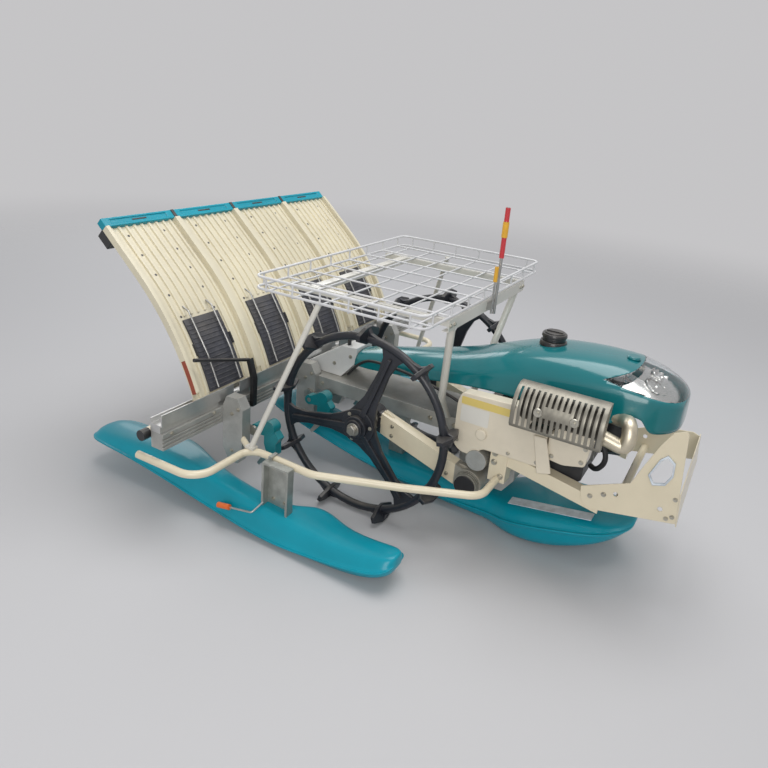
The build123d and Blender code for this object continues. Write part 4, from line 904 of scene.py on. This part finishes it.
# Hood, headlamp and fuel cap
# One long moulded hood in deep teal with a gloss finish. A clear lens closes its nose over
# two silvered bowls, and the tank's black screw cap stands up through it.
hood_gloss = finish(
    "hood_gloss", (0.0, 0.165, 0.185), 0.2, coat=0.5, tone=0.06, tone_size=2.5, dust=0.02, fine=160.0,
    wave=0.6, bump=0.03,
)
# x, then half width and height of the bottom edge, of the crease along the side, and of the top
hood_places = [
    (-0.085, 0.070, 0.412, 0.066, 0.434, 0.046, 0.458), (0.0, 0.080, 0.416, 0.075, 0.446, 0.052, 0.478),
    (0.100, 0.092, 0.434, 0.088, 0.464, 0.062, 0.500), (0.215, 0.108, 0.452, 0.104, 0.487, 0.074, 0.526),
    (0.325, 0.130, 0.478, 0.121, 0.514, 0.088, 0.556), (0.427, 0.150, 0.496, 0.137, 0.543, 0.100, 0.594),
    (0.524, 0.163, 0.505, 0.149, 0.564, 0.112, 0.633), (0.620, 0.168, 0.503, 0.154, 0.581, 0.118, 0.652),
    (0.743, 0.168, 0.502, 0.155, 0.597, 0.120, 0.662), (0.840, 0.165, 0.502, 0.152, 0.603, 0.114, 0.659),
    (0.856, 0.164, 0.502, 0.151, 0.604, 0.112, 0.657), (0.868, 0.163, 0.502, 0.150, 0.604, 0.110, 0.655),
    (0.912, 0.157, 0.503, 0.144, 0.602, 0.101, 0.644), (0.924, 0.154, 0.503, 0.142, 0.601, 0.098, 0.640),
    (0.940, 0.149, 0.503, 0.137, 0.600, 0.092, 0.634), (0.965, 0.137, 0.504, 0.127, 0.598, 0.083, 0.623),
    (0.990, 0.115, 0.506, 0.107, 0.591, 0.064, 0.611), (1.006, 0.092, 0.509, 0.086, 0.583, 0.046, 0.600),
    (1.016, 0.062, 0.514, 0.060, 0.570, 0.030, 0.590),
]
# the bottom edge's height at a notch in both sides, behind the lens
notch = {0.856: 0.532, 0.868: 0.545, 0.912: 0.545, 0.924: 0.532}
crown = 0.004
side_creases = (1, 5)
bm = bmesh.new()
crease = bm.edges.layers.float.new("crease_edge")
lines = []
for x, low_half, low_z, side_half, side_z, top_half, top_z in hood_places:
    edge_z = notch.get(x, low_z)
    places = [
        (x, -low_half, edge_z), (x, -side_half, side_z), (x, -top_half, top_z), (x, 0, top_z + crown),
        (x, top_half, top_z), (x, side_half, side_z), (x, low_half, edge_z),
    ]
    if lines:
        drawn = bmesh.ops.extrude_edge_only(bm, edges=lines)["geom"]
        fresh = corners_of(drawn)
        row = [min(fresh, key=lambda vert: (vert.co - old.co).length) for old in row]
        for index, (vert, place) in enumerate(zip(row, places)):
            for line in vert.link_edges:
                if line.other_vert(vert) not in row and index in side_creases:
                    line[crease] = 0.45
            vert.co = place
        lines = [part for part in drawn if isinstance(part, bmesh.types.BMEdge)
                 and all(vert in fresh for vert in part.verts)]
    else:
        row = [bm.verts.new(place) for place in places]
        lines = [bm.edges.new(pair) for pair in zip(row, row[1:])]
bm.faces.new(row)
bmesh.ops.recalc_face_normals(bm, faces=bm.faces)
for line in bm.edges:
    if line.is_boundary:
        line[crease] = 0.7
rough_hood = bpy.data.objects.new("rough_hood", bpy.data.meshes.new("rough_hood"))
bm.to_mesh(rough_hood.data)
bm.free()
bpy.context.collection.objects.link(rough_hood)
smoothing = rough_hood.modifiers.new("round", "SUBSURF")
smoothing.levels = smoothing.render_levels = 3
bpy.context.view_layer.update()
smooth_hood = bpy.data.meshes.new_from_object(rough_hood.evaluated_get(bpy.context.evaluated_depsgraph_get()))
bpy.data.objects.remove(rough_hood)
# the lens takes the part above a sloping line along the side and before one across the top
lens_rear, lens_top = Vector((0.790, 0, 0.625)), Vector((0.884, 0, 0.662))
lens_front = Vector((1.030, 0, 0.589))
sill = Vector((lens_front.z - lens_rear.z, 0, lens_rear.x - lens_front.x)).normalized()
sill = sill if sill.z > 0 else -sill
brow = Vector((lens_top.z - lens_rear.z, 0, lens_rear.x - lens_top.x)).normalized()
brow = brow if brow.x > 0 else -brow


def hood_part(glass):
    """The glass or the painted part of the smooth hood."""
    bm = bmesh.new()
    bm.from_mesh(smooth_hood)
    for normal in (sill, brow):
        bmesh.ops.bisect_plane(bm, geom=list(bm.verts) + list(bm.edges) + list(bm.faces), dist=1e-6,
                               plane_co=lens_rear, plane_no=normal)
    cut = []
    for face in bm.faces:
        centre = face.calc_center_median() - lens_rear
        face.smooth = True
        if (centre.dot(sill) > 0 and centre.dot(brow) > 0) != glass:
            cut.append(face)
    bmesh.ops.delete(bm, geom=cut, context="FACES")
    return bm


hood_piece = put("hood_shell", hood_part(False), "chassis", hood_gloss)
add_wall(hood_piece, 0.003)
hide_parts("hood")
chrome = finish("lamp_silver", (0.66, 0.63, 0.60), 0.26, metallic=1.0, tone=0.05, dust=0.0, fine=90.0,
                bump=0.02)
bm = hood_part(True)
bmesh.ops.scale(bm, vec=(0.90, 0.90, 1), space=Matrix.Translation((-0.905, 0, 0)), verts=bm.verts)
bmesh.ops.translate(bm, vec=(0, 0, -0.030), verts=bm.verts)
# two round bowls, cut off by a leaning plane, with their bulbs
for side in (-1, 1):
    middle = Vector((0.925, side * 0.046, 0.612))
    bowl = bmesh.ops.create_uvsphere(bm, u_segments=28, v_segments=14, radius=0.036,
                                     matrix=Matrix.Translation(middle))["verts"]
    lean = Vector((0.55, side * 0.1, 1)).normalized()
    over = [vert for vert in bowl if (vert.co - middle).dot(lean) > 0.004]
    bmesh.ops.delete(bm, geom=over, context="VERTS")
    bmesh.ops.create_uvsphere(bm, u_segments=16, v_segments=10, radius=0.009,
                              matrix=Matrix.Translation(middle - Vector((0, 0, 0.008))))
shade(bm)
liner = put("lamp_bowls", bm, "chassis", chrome)
add_wall(liner, 0.0012)
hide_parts("lamp_reflector")
cap_black = finish("cap_black", (0.018, 0.018, 0.02), 0.32, coat=0.3, tone=0.15, dust=0.15, fine=500.0,
                   bump=0.2)
cap_x = 0.597
bm = bmesh.new()
# the cap's seat, its neck and its wide grip
add_turned(bm, Matrix.Translation((cap_x, 0, 0.652)), 0.044, 0.016, 0.041, 48)
add_turned(bm, Matrix.Translation((cap_x, 0, 0.666)), 0.036, 0.014, sides=48)
add_turned(bm, Matrix.Translation((cap_x, 0, 0.678)), 0.040, 0.012, 0.038, 48)
shade(bm, 2, 0.6)
screw_cap = put("screw_cap", bm, "chassis", cap_black)
round_edges(screw_cap, 0.0025, 3)
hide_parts("fuel_cap")

lens = bpy.data.materials.new("clear_lens")
lens.use_nodes = True
tree = lens.node_tree
shader = tree.nodes["Principled BSDF"]
shader.inputs["Base Color"].default_value = (0.93, 0.96, 0.97, 1)
shader.inputs["Transmission Weight"].default_value = 1.0
shader.inputs["IOR"].default_value = 1.3
place = add_node(tree, "ShaderNodeTexCoord")
haze = add_node(tree, "ShaderNodeTexNoise", {"Scale": 14.0, "Detail": 6.0})
clear = add_node(tree, "ShaderNodeMapRange", {
    "From Min": 0.45, "From Max": 0.8, "To Min": 0.03, "To Max": 0.14,
})
join(tree, (place.outputs["Object"], haze.inputs["Vector"]), (haze.outputs["Fac"], clear.inputs["Value"]),
     (clear.outputs[0], shader.inputs["Roughness"]))
glass = put("lens", hood_part(True), "chassis", lens)
add_wall(glass, 0.0025)
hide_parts("headlamp")
bpy.data.meshes.remove(smooth_hood)

bm = bmesh.new()
# the ring and the raised bar on top of the screw cap
add_turned(bm, Matrix.Translation((cap_x, 0, 0.6855)), 0.033, 0.004, 0.031, 40)
add_block(bm, (cap_x - 0.025, -0.006, 0.686), (cap_x + 0.025, 0.006, 0.6905))
put("cap_bar", bm, "chassis", cap_black)
bm = bmesh.new()
# the round plug on the hood behind the lens
plug_place = Matrix.Translation((0.842, 0, 0.6655)) @ Matrix.Rotation(radians(2), 4, "Y")
add_turned(bm, plug_place, 0.021, 0.010, 0.017, 36)
shade(bm, 2, 0.6)
put("hood_plug", bm, "chassis", hood_gloss)

# Main beam and planting frame
# An aluminium beam runs back to a ribbed beam across the rear. The tray's rail lies on it,
# and a white sheet cover hides the rods between the beam and the hood.
bright_alloy = finish(
    "bright_alloy", (0.60, 0.60, 0.59), 0.34, metallic=0.85, tone=0.12, tone_size=10.0, rub=0.3,
    bare=(0.8, 0.8, 0.8), dust=0.2, fine=300.0, bump=0.12,
)
white_enamel = finish("white_enamel", (0.68, 0.69, 0.68), 0.35, coat=0.15, tone=0.08, rub=0.4, dust=0.15,
                      bare=(0.3, 0.28, 0.25), fine=380.0, bump=0.1)
skin("main_beam", "chassis", cast_grey, 0.002)
skin("link_cover", "chassis", white_enamel, 0.003)
skin("planting_beam", "chassis", cast_grey, 0.001)
skin("tray_rail", "chassis", bright_alloy, 0.0006)
tube_enamel = finish(
    "tube_enamel", cream, 0.34, coat=0.3, tone=0.06, tone_size=5.0, rub=0.5, bare=bare_steel, dust=0.15,
    fine=380.0, bump=0.1, zones=[(black_rubber, 0.5, 0.0, ("away", 0.765, 0.80))],
)
dress("cross_tube", tube_enamel)
bolt_row_z = 0.317
bm = bmesh.new()
# along the main beam, on the link cover, and along both faces of the planting beam
for side in (-1, 1):
    for x in (-0.275, -0.2, 0.25, 0.34):
        add_bolt(bm, (x, side * 0.1, bolt_row_z), (0, side, 0), 0.0075, 0.005)
    for x, z in ((-0.180, 0.390), (-0.112, 0.432)):
        add_bolt(bm, (x, side * 0.055, z), (0, side, 0), 0.006, 0.005)
for y in (-0.74, -0.56, -0.44, -0.2, 0.2, 0.44, 0.56, 0.74):
    add_bolt(bm, (-0.300, y, 0.337), (1, 0, 0), 0.0055, 0.004)
for y in (-0.7, -0.5, -0.2, 0.2, 0.5, 0.7):
    add_bolt(bm, (-0.350, y, bolt_row_z), (-1, 0, 0), 0.0075, 0.005)
put("beam_bolts", bm, "chassis", bolt_zinc)
knob_x, knob_y = -0.135, -0.03
bm = bmesh.new()
# a black hand knob on the link cover
add_turned(bm, Matrix.Translation((knob_x, knob_y, 0.480)), 0.008, 0.030, 0.006, 24)
bmesh.ops.create_uvsphere(bm, u_segments=24, v_segments=14, radius=0.017,
                          matrix=Matrix.Translation((knob_x, knob_y, 0.504)))
shade(bm)
put("link_knob", bm, "chassis", cap_black)
hose("clutch_cable", [
    (-0.12, -0.05, 0.36), (-0.05, -0.085, 0.45), (0.06, -0.105, 0.465), (0.18, -0.12, 0.46),
    (0.30, -0.13, 0.44), (0.40, -0.118, 0.40), (0.41, -0.112, 0.38),
], 0.005, "chassis", hose_rubber)

# Planting cases, cranks and arms
# Cast cases hang beside each row with clamps round the beam. Teal enamelled arms turn on
# their cranks, each with a steel claw that cuts the seedlings from the mat.
arm_enamel = finish(
    "arm_enamel", (0.0, 0.20, 0.23), 0.36, coat=0.2, tone=0.15, tone_size=14.0, rub=0.6, dust=0.25,
    fine=300.0, bump=0.25, zones=[((0.5, 0.49, 0.46), 0.35, 0.85, ("z", 0.13, 0.196))],
)
skin("planting_cases", "chassis", cast_grey, 0.002)
skin("planting_arms", "arms", arm_enamel, 0.0015)
dress("planting_cranks", axle_steel)
planting_case_half = 0.0202
bm = bmesh.new()
for planting_case_y in (-0.50, -0.10, 0.10, 0.50):
    for x, z in ((-0.262, 0.330), (-0.262, 0.196), (-0.236, 0.352)):
        for side in (-1, 1):
            add_bolt(bm, (x, planting_case_y + side * planting_case_half, z), (0, side, 0), 0.006, 0.005)
put("case_screws", bm, "chassis", bolt_zinc)

# Seedling tray
# A moulded cream tray of four ribbed columns with ribbed rubber belts in its windows,
# spring rods over them, and teal caps along the top edge. It slides on the rail.
tray_plastic = finish(
    "tray_plastic", (0.72, 0.66, 0.50), 0.42, coat=0.1, tone=0.07, tone_size=4.0, dust=0.14, rub=0.2,
    bare=(0.8, 0.76, 0.62), fine=420.0, bump=0.1,
)
skin("seedling_tray", "tray", tray_plastic, 0.0008)
skin("tray_caps", "tray", float_plastic, 0.004)
rod_steel = finish("rod_steel", (0.42, 0.42, 0.41), 0.3, metallic=0.9, tone=0.15, dust=0.1, tone_size=30.0)
dress("seedling_rods", rod_steel)
belt_rubber = finish("belt_rubber", (0.05, 0.052, 0.064), 0.62, tone=0.3, tone_size=20.0, dust=0.5,
                     fine=900.0, bump=0.4)
dress("feed_belts", belt_rubber)
# the slope begins at the foot as an arc and goes on straight
foot_x, foot_z, arc_r, foot_angle, top_angle = -0.327, 0.391, 0.892, radians(69.4), radians(41.6)
arc_length = arc_r * (foot_angle - top_angle)


def on_tray(along, rise):
    """The place at a distance up the tray's slope and a height above it, and the slope there."""
    on_arc = min(along, arc_length)
    angle = foot_angle - on_arc / arc_r
    rest = along - on_arc
    x = foot_x - arc_r * sin(foot_angle) + (arc_r + rise) * sin(angle) - rest * cos(angle)
    z = foot_z - arc_r * cos(foot_angle) + (arc_r + rise) * cos(angle) + rest * sin(angle)
    return x, z, angle


def tray_place(along, y, rise):
    """A matrix whose x runs down the slope and whose z stands out of the tray."""
    x, z, angle = on_tray(along, rise)
    return Matrix.Translation((x, y, z)) @ Matrix.Rotation(angle, 4, "Y")


def add_tray_block(bm, along, y, rise, size):
    """A block that lies on the tray's slope."""
    bmesh.ops.create_cube(bm, size=1, matrix=tray_place(along, y, rise) @ Matrix.Diagonal((*size, 1)))


# the middle of each column
columns = [-0.47, -0.17, 0.13, 0.43]
belt_rib_count, belt_rib_start, belt_rib_pitch = 15, 0.018, 0.0152
bm = bmesh.new()
# cross ribs moulded on the belts, which grip the mats
for y in columns:
    for i in range(belt_rib_count):
        add_tray_block(bm, belt_rib_start + i * belt_rib_pitch, y, 0.0056, (0.004, 0.148, 0.0028))
round_corners(bm, [line for line in bm.edges if line.calc_length() > 0.1], 0.0008, 2)
put("belt_ribs", bm, "tray", belt_rubber)
hole_shade_radius, hole_shade_depth = 0.0042, 0.0006
bm = bmesh.new()
# painted shade of round drain holes: flat dark discs on the slope, seen as dark spots between the ribs, where
# no hole is cut
for y in columns:
    for along in (0.265, 0.345, 0.425, 0.505, 0.585):
        for across in (-0.075, 0.075):
            add_turned(bm, tray_place(along, y + across, 0.0002), hole_shade_radius, hole_shade_depth, sides=16)
put("tray_hole_shade", bm, "tray", belt_rubber)
bm = bmesh.new()
# black stops beside each belt, and a black corner piece under the near top corner
for y in columns:
    for across in (-0.0835, 0.0835):
        add_tray_block(bm, 0.150, y + across, 0.004, (0.040, 0.009, 0.008))
add_tray_block(bm, 0.600, -0.600, -0.022, (0.055, 0.036, 0.034))
round_corners(bm, list(bm.edges), 0.002, 2)
put("tray_stops", bm, "tray", cap_black)
bm = bmesh.new()
# dark clips between the caps, and painted shade of a slot in each cap
for y in (-0.32, -0.02, 0.28):
    add_tray_block(bm, 0.639, y, 0.006, (0.033, 0.014, 0.020))
# painted shade: a thin dark strip on top of each cap stands for its slot
for y in columns:
    add_tray_block(bm, 0.640, y, 0.0105, (0.006, 0.060, 0.0012))
round_corners(bm, list(bm.edges), 0.0005, 1)
put("cap_clips_and_slot_shade", bm, "tray", cap_black)
strip_red = finish("strip_red", (0.30, 0.06, 0.03), 0.5, tone=0.2, dust=0.2)
strip_start, strip_pitch, near_edge = 0.03, 0.018, -0.6205
bm = bmesh.new()
# a red-brown wear strip along the near edge's foot
for i in range(6):
    add_tray_block(bm, strip_start + i * strip_pitch, near_edge, 0.010, (0.0182, 0.0022, 0.016))
bmesh.ops.remove_doubles(bm, verts=bm.verts, dist=0.0005)
put("edge_strip", bm, "tray", strip_red)

# Guard tubes, handlebars and controls
# Bent steel tube in cream enamel. The guards run round both sides, and the handlebars end
# in ribbed black grips beside a small panel of levers.
guard_enamel = finish(
    "guard_enamel", cream, 0.32, coat=0.35, tone=0.06, tone_size=5.0, rub=0.35, bare=bare_steel, dust=0.1,
    fine=380.0, bump=0.08,
)
dress("side_guard_right side_guard_left handlebars tray_support", guard_enamel)
grip_rubber = finish("grip_rubber", (0.016, 0.016, 0.017), 0.65, tone=0.2, dust=0.2, fine=600.0, bump=0.4)
dress("hand_grips", grip_rubber)
skin("control_panel", "chassis", cap_black, 0.003)
skin("seedling_stop", "chassis", cap_black, 0.001)
grip_y, grip_pitch = 0.290, 0.012
bm = bmesh.new()
# finger ribs round both grips, along the handle's last run
start, end = Vector((-0.900, 0, 0.690)), Vector((-1.0572, 0, 0.746))
along = (end - start).normalized()
turn = Vector((0, 0, 1)).rotation_difference(along).to_matrix().to_4x4()
for side in (-1, 1):
    for i in range(9):
        at = end + Vector((0, side * grip_y, 0)) - along * (grip_pitch + i * grip_pitch)
        add_turned(bm, Matrix.Translation(at) @ turn, 0.0222, 0.0045, sides=28)
round_corners(bm, list(bm.edges), 0.0006, 2)
put("grip_ribs", bm, "chassis", grip_rubber)

# Spare rack
# Welded wire with a white coating on a frame of square tube. A marker pole with coloured
# sleeves stands at its front edge, where the driver sights along it.
wire_coat = finish(
    "wire_coat", (0.66, 0.66, 0.67), 0.3, coat=0.3, tone=0.08, tone_size=12.0, rub=0.2, dust=0.15,
    bare=(0.35, 0.33, 0.3), fine=400.0, bump=0.1,
)
dress("spare_rack", wire_coat)
rack_enamel = finish(
    "rack_enamel", (0.66, 0.64, 0.58), 0.34, coat=0.3, tone=0.07, tone_size=6.0, rub=0.4, dust=0.12,
    bare=(0.3, 0.28, 0.25), fine=380.0, bump=0.1,
)
dress("rack_frame", rack_enamel)
dress("marker_pole", rod_steel)
sleeve_yellow = (0.80, 0.42, 0.03)
sleeve_plastic = finish(
    "sleeve_plastic", (0.60, 0.035, 0.045), 0.3, coat=0.3, tone=0.08, tone_size=20.0, dust=0.05,
    zones=[(sleeve_yellow, 0.32, 0.0, ("z", 0.9505, 1.0005)), (sleeve_yellow, 0.32, 0.0, ("z", 0.80, 0.862))],
)
dress("marker_sleeves", sleeve_plastic)
bm = bmesh.new()
for side in (-1, 1):
    for y in (0.284, 0.311):
        add_bolt(bm, (0.374, side * y, 0.730), (1, 0, 0), 0.006, 0.004)
put("rack_bolts", bm, "chassis", bolt_zinc)

# Floor, background and light
# A plain pale floor that fades into an even grey, a wide soft lamp from above and a weaker
# one from the front, at a level where colours come out about as they are written.
backdrop = (0.56, 0.555, 0.565, 1)
floor_radius = 14.0
bm = bmesh.new()
bmesh.ops.create_circle(bm, cap_ends=True, segments=96, radius=floor_radius)
mesh = bpy.data.meshes.new("floor")
bm.to_mesh(mesh)
bm.free()
floor = bpy.data.objects.new("floor", mesh)
bpy.context.collection.objects.link(floor)
paper = bpy.data.materials.new("floor_paper")
paper.use_nodes = True
tree = paper.node_tree
shader = tree.nodes["Principled BSDF"]
shader.inputs["Base Color"].default_value = backdrop
shader.inputs["Roughness"].default_value = 0.9
shader.inputs["Specular IOR Level"].default_value = 0.1
place = add_node(tree, "ShaderNodeTexCoord")
away = add_node(tree, "ShaderNodeVectorMath", operation="LENGTH")
fade = add_node(tree, "ShaderNodeMapRange", {"From Min": 1.6, "From Max": 7.0},
                interpolation_type="SMOOTHSTEP")
clear = add_node(tree, "ShaderNodeBsdfTransparent")
blend = add_node(tree, "ShaderNodeMixShader")
join(tree, (place.outputs["Object"], away.inputs[0]), (away.outputs["Value"], fade.inputs["Value"]),
     (fade.outputs[0], blend.inputs[0]), (shader.outputs[0], blend.inputs[1]),
     (clear.outputs[0], blend.inputs[2]), (blend.outputs[0], tree.nodes["Material Output"].inputs[0]))
mesh.materials.append(paper)
floor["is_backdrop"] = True


def soft_lamp(name, at, target, size, watts, colour):
    """A square soft lamp that faces a point."""
    lamp = bpy.data.objects.new(name, bpy.data.lights.new(name, "AREA"))
    lamp.data.size = size
    lamp.data.energy = watts
    lamp.data.color = colour
    lamp.location = at
    lamp.rotation_euler = (Vector(target) - Vector(at)).to_track_quat("-Z", "Y").to_euler()
    bpy.context.collection.objects.link(lamp)


soft_lamp("top_lamp", (0.4, 0.4, 4.2), (0, 0, 0.3), size=3.2, watts=112, colour=(1.0, 1.0, 1.0))
soft_lamp("front_lamp", (1.6, -4.2, 2.2), (0, 0, 0.3), size=2.4, watts=78, colour=(1.0, 0.985, 0.96))
soft_lamp("rear_lamp", (-3.4, 3.0, 2.6), (0, 0, 0.4), size=2.4, watts=42, colour=(0.97, 0.985, 1.0))
world = bpy.data.worlds.new("studio")
world.use_nodes = True
tree = world.node_tree
light = tree.nodes["Background"]
light.inputs["Color"].default_value = (0.9, 0.92, 0.95, 1)
light.inputs["Strength"].default_value = 0.42
seen = add_node(tree, "ShaderNodeBackground", {"Color": backdrop, "Strength": 1.0})
rays = add_node(tree, "ShaderNodeLightPath")
choose = add_node(tree, "ShaderNodeMixShader")
plain = add_node(tree, "ShaderNodeMath", operation="ADD")
either = add_node(tree, "ShaderNodeMath", operation="ADD", use_clamp=True)
join(tree, (rays.outputs["Is Camera Ray"], plain.inputs[0]), (rays.outputs["Is Glossy Ray"], plain.inputs[1]),
     (plain.outputs[0], either.inputs[0]), (rays.outputs["Is Transmission Ray"], either.inputs[1]),
     (either.outputs[0], choose.inputs[0]), (light.outputs[0], choose.inputs[1]),
     (seen.outputs[0], choose.inputs[2]), (choose.outputs[0], tree.nodes["World Output"].inputs[0]))
bpy.context.scene.world = world
bpy.context.scene.view_settings.view_transform = "Standard"

low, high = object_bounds()
